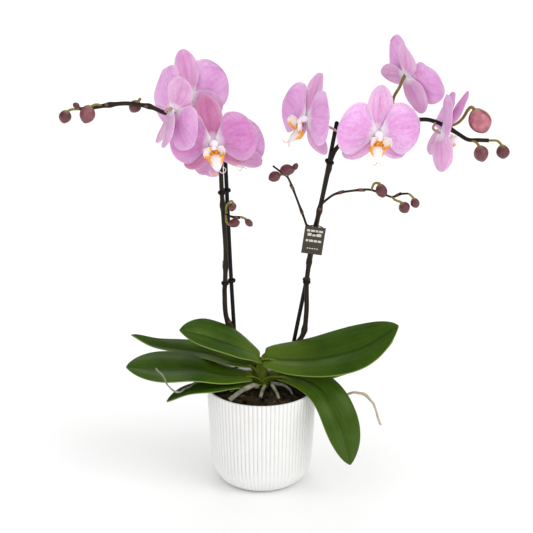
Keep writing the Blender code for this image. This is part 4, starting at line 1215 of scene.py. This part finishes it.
def relieve(blade, kind, ruffle, seed):
    """Give a flat tepal its cup, its bend, its wavy edge and its soft pleats."""
    *places, share_of_ruffle = RELIEFS[kind]
    start, bend, cup, lift = (value * MM for value in places)
    ruffle *= share_of_ruffle
    length = max(vert.co.x for vert in blade.data.vertices)
    half = max(vert.co.y for vert in blade.data.vertices)
    for vert, (even, wide) in zip(blade.data.vertices, across(blade)):
        t = stretched(even)
        share = vert.co.y / half
        edge = abs(wide) ** 3 * min(1.0, t * 2.5)
        wave = noise.noise(Vector((t * 3.1 + seed, wide * 1.7, seed * 0.7)))
        pleat = noise.noise(Vector((t * 1.3, wide * 3.6, seed * 1.9)))
        pleat *= 0.9 * MM * math.sin(math.pi * min(1.0, t * 1.2))
        keel = -0.8 * MM * math.exp(-(wide / 0.12) ** 2) * math.sin(math.pi * min(1.0, t * 1.1))
        vert.co.z = (lift + bend * t * t + cup * share * share + ruffle * edge * wave * 2.0
                     + ruffle * 0.9 * wave * t + pleat + keel)
        vert.co.x = start + vert.co.x - 0.05 * length * share * share


class ORCHID_OT_flowers(bpy.types.Operator):
    """Open flowers: three sepals, two petals, a lobed lip, the column and the pedicel"""
    bl_idname = "orchid.flowers"
    bl_label = "Open flowers"

    def execute(self, context):
        settings = context.scene.orchid_flower
        flats = {
            "dorsal": add_blade("dorsal", settings.dorsal_length, settings.dorsal_half_width, 0.55, 0.35,
                                SEPAL_GRID),
            "lateral": add_blade("lateral", settings.lateral_length, settings.lateral_half_width, 0.5, 0.4,
                                 SEPAL_GRID),
            "petal": add_blade("petal", settings.petal_length, settings.petal_half_width, 0.55, 0.16,
                               PETAL_GRID),
        }
        for number, (name, data) in enumerate(FLOWERS.items()):
            # depth is the flower's tint; the darkest tint is painted shade
            centre, face, top, stalk, stem, depth = data
            axes = flower_axes(centre, face, top)
            turned = {**OPEN_TEPALS, **TURNED_TEPALS.get(name, {})}
            sepals = []
            for order, (part, (azimuth, lean, *twist)) in enumerate(turned.items()):
                kind = part.split("_")[0]
                tepal = copy_piece(flats[kind], f"{name}_{part}")
                relieve(tepal, kind, settings.ruffle, number * 7.3 + order * 3.1)
                thicken(tepal, settings.thickness)
                turn = Matrix.Rotation(math.radians(azimuth), 4, "Z")
                turn = turn @ Matrix.Rotation(math.radians(-lean), 4, "Y")
                turn = turn @ Matrix.Rotation(math.radians(sum(twist)), 4, "X")
                tepal.data.transform(axes @ turn)
                if kind == "petal":
                    finish_piece(tepal, f"{name}_{part}_blade", "petal_" + depth,
                                 (f"{name}_{part}",), 70)
                else:
                    sepals.append(tepal)
            finish_piece(join(sepals, name + "_sepals"), name + "_sepal_blades", "sepal_" + depth,
                         (name + "_sepals",), 70)
            build_lip(name, axes, number)
            build_column(name, axes)
            build_pedicel(name, axes, stalk, stem)
        for flat in flats.values():
            bpy.data.objects.remove(flat)
        return {"FINISHED"}


def build_lip(name, axes, number):
    """The lip: two upright side lobes, an arrow-shaped middle lobe with tendrils, and the callus."""
    parts = []
    foot = axes @ Matrix.Translation((0, -8.0 * MM, 3.5 * MM))
    foot = foot @ Matrix.Rotation(math.radians(LIP_TURNS[number]), 4, "Z")
    for side in (-1, 1):
        lobe = add_blade("lobe", 18 * MM, 7.6 * MM, 0.55, 0.5, (12, 8))
        for vert, (even, wide) in zip(lobe.data.vertices, across(lobe)):
            t = stretched(even)
            vert.co.z = 4.2 * MM * wide * wide + 3.0 * MM * t * t
        along = Vector((side * 0.5, 0.76, 0.4)).normalized()
        flat = Vector((side * -0.42, 0.0, 0.9))
        flat = (flat - along * along.dot(flat)).normalized()
        turn = Matrix((along, flat.cross(along), flat)).transposed().to_4x4()
        turn.translation = (side * 4.4 * MM, -6.5 * MM, 1.0 * MM)
        thicken(lobe, 0.9 * MM)
        lobe.data.transform(foot @ turn)
        parts.append(lobe)
    middle = add_blade("middle", 22 * MM, 11.0 * MM, 0.32, 0.35, (20, 14))
    for vert, (even, wide) in zip(middle.data.vertices, across(middle)):
        t = stretched(even)
        vert.co.y *= 1.0 - 0.5 * max(0.0, (t - 0.35) / 0.65) ** 0.8
        arch = 3.4 * MM * wide * wide * math.sin(math.pi * min(1.0, t * 1.3))
        vert.co.z = 8 * MM * t - arch + 2.0 * MM * t * t
    thicken(middle, 1.0 * MM)
    middle.data.transform(foot @ Matrix.Translation((0, -2.5 * MM, 1.5 * MM))
                          @ Matrix.Rotation(math.radians(-90), 4, "Z"))
    parts.append(middle)
    for side in (-1, 1):
        points = [foot @ (Vector((side * x, y, z)) * MM) for x, y, z in TENDRIL]
        parts.append(add_rod("tendril", smooth_path(points, 1 * MM), 0.6 * MM, 0.25 * MM, 8))
    for part in parts:
        wear(part, "lip")
    for size, place, finish in KNOBS:
        start_piece()
        bpy.ops.mesh.primitive_uv_sphere_add(segments=16, ring_count=10, radius=1.0, location=(0, 0, 0))
        knob = bpy.context.object
        for vert in knob.data.vertices:
            vert.co *= 1.0 + 0.16 * noise.noise(vert.co * 1.9 + Vector((number, place[0], place[1])))
        spot = foot @ Matrix.Translation(Vector(place) * MM)
        knob.data.transform(spot @ Matrix.Diagonal((*(Vector(size) * MM), 1.0)))
        wear(knob, finish)
        parts.append(knob)
    finish_piece(join(parts, name + "_lip"), name + "_lip_lobes", None, (name + "_lip",), 60)


def build_column(name, axes):
    """The column: a short white nose with a rounded cap and two small wings."""
    start_piece()
    bpy.ops.mesh.primitive_uv_sphere_add(segments=24, ring_count=16, radius=1.0, location=(0, 0, 0))
    column = bpy.context.object
    for vert in column.data.vertices:
        high = vert.co.z
        wing = 1.0 + 0.22 * math.exp(-((high - 0.35) / 0.3) ** 2) * abs(vert.co.x)
        vert.co.x *= 4.6 * MM * wing
        vert.co.y = vert.co.y * 4.2 * MM - 2.4 * MM * max(0.0, high + 0.2) ** 2
        vert.co.z = 3.2 * MM + high * 7.0 * MM
    column.data.transform(axes)
    start_piece()
    bpy.ops.mesh.primitive_uv_sphere_add(segments=18, ring_count=12, radius=1.0, location=(0, 0, 0))
    cap = bpy.context.object
    cap.data.transform(axes @ Matrix.Translation((0, -3.6 * MM, 9.0 * MM))
                       @ Matrix.Diagonal((3.7 * MM, 3.3 * MM, 2.6 * MM, 1.0)))
    finish_piece(join([column, cap], name + "_column"), name + "_column", "column", (), 60)


def build_pedicel(name, axes, stalk, stem):
    """The pedicel, from the back of the flower to the middle of its stem."""
    hub = axes @ Vector((0, 0, -1.5 * MM))
    points = [hub, axes @ Vector((0, 0, -5.0 * MM))] + [at_plant(p) for p in stalk]
    path = STEM_PATHS[stem]
    last = points[-1]
    nearest = min(zip(path, path[1:]), key=lambda pair: ((pair[0] + pair[1]) / 2 - last).length)
    touch, share = intersect_point_line(last, *nearest)
    points.append(touch)
    hooked = name == "flower_upper_right"
    end = 1.9 if hooked else 1.3
    rod = add_rod(name + "_pedicel", smooth_path(points, 2 * MM), 1.9 * MM, end * MM, 12)
    finish_piece(rod, name + "_pedicel", "stalk" if hooked else "pedicel", (), 60)


# ---------------------------------------------------------------- stage

class ORCHID_OT_stage(bpy.types.Operator):
    """Stage: a pale floor, soft lights and the camera"""
    bl_idname = "orchid.stage"
    bl_label = "Stage"

    def execute(self, context):
        start_piece()
        bpy.ops.mesh.primitive_plane_add(size=24.0, location=(0, 6.0, -0.0002))
        floor = context.object
        floor.name = "floor"
        finish, tree, shader = new_finish("floor_white")
        cloud = noisy(tree, at(tree, "Object"), 6.0, 2.0)
        tone = mixed(tree, cloud, (0.9, 0.9, 0.9), (0.91, 0.91, 0.905))
        fill(tree, shader, {"Base Color": tone, "Roughness": 0.9, "Specular IOR Level": 0.1})
        floor.data.materials.append(finish)

        world = bpy.data.worlds.new("soft_sky")
        world.use_nodes = True
        sky = world.node_tree
        rays = node(sky, "ShaderNodeLightPath").outputs
        level = maths(sky, "ADD", ranged(sky, rays["Is Glossy Ray"], 0.0, 1.0, 0.93, 0.25),
                      product(sky, rays["Is Camera Ray"], 0.1))
        fill(sky, sky.nodes["Background"], {"Color": (1.0, 1.0, 1.0, 1.0), "Strength": level})
        context.scene.world = world

        for name, towards, spread, strength in SUNS:
            bpy.ops.object.light_add(type="SUN", location=(0, 0, 2))
            lamp = context.object
            lamp.name = name
            lamp.data.angle = math.radians(spread)
            lamp.data.energy = strength
            lamp.rotation_euler = Vector(towards).to_track_quat("-Z", "Y").to_euler()

        bpy.ops.object.camera_add(location=CAMERA_PLACE,
                                  rotation=(math.radians(90.0 - CAMERA_TILT), 0.0, 0.0))
        camera = context.object
        camera.data.lens = 105.0
        camera.data.sensor_width = 36.0
        context.scene.camera = camera
        context.scene.view_settings.view_transform = "Standard"
        return {"FINISHED"}


class ORCHID_PT_panel(bpy.types.Panel):
    """Sidebar panel that lists the orchid's pieces"""
    bl_idname = "ORCHID_PT_panel"
    bl_label = "Moth Orchid"
    bl_space_type = "VIEW_3D"
    bl_region_type = "UI"
    bl_category = "Orchid"

    def draw(self, context):
        for group in (context.scene.orchid_pot, context.scene.orchid_plant, context.scene.orchid_flower):
            box = self.layout.box()
            for name in group.__annotations__:
                box.prop(group, name)
        for piece in PIECES:
            self.layout.operator(piece.bl_idname)


PIECES = (ORCHID_OT_stage, ORCHID_OT_pot, ORCHID_OT_bark, ORCHID_OT_crown, ORCHID_OT_roots,
          ORCHID_OT_leaves, ORCHID_OT_stakes, ORCHID_OT_stems, ORCHID_OT_buds, ORCHID_OT_clips,
          ORCHID_OT_tag, ORCHID_OT_flowers)
SETTINGS = (("orchid_pot", OrchidPotSettings), ("orchid_plant", OrchidPlantSettings),
            ("orchid_flower", OrchidFlowerSettings))


def register():
    """Register the settings, the operators and the panel."""
    for name, group in SETTINGS:
        bpy.utils.register_class(group)
        setattr(bpy.types.Scene, name, bpy.props.PointerProperty(type=group))
    for piece in (*PIECES, ORCHID_PT_panel):
        bpy.utils.register_class(piece)


def unregister():
    """Remove them again."""
    for piece in reversed((*PIECES, ORCHID_PT_panel)):
        bpy.utils.unregister_class(piece)
    for name, group in reversed(SETTINGS):
        delattr(bpy.types.Scene, name)
        bpy.utils.unregister_class(group)


def main():
    """Build every piece."""
    register()
    FINISHES.update(make_finishes())
    bpy.ops.orchid.stage()
    bpy.ops.orchid.pot()
    bpy.ops.orchid.bark()
    bpy.ops.orchid.crown()
    bpy.ops.orchid.roots()
    bpy.ops.orchid.leaves()
    bpy.ops.orchid.stakes()
    bpy.ops.orchid.stems()
    bpy.ops.orchid.buds()
    bpy.ops.orchid.clips()
    bpy.ops.orchid.tag()
    bpy.ops.orchid.flowers()


if __name__ == "__main__":
    main()
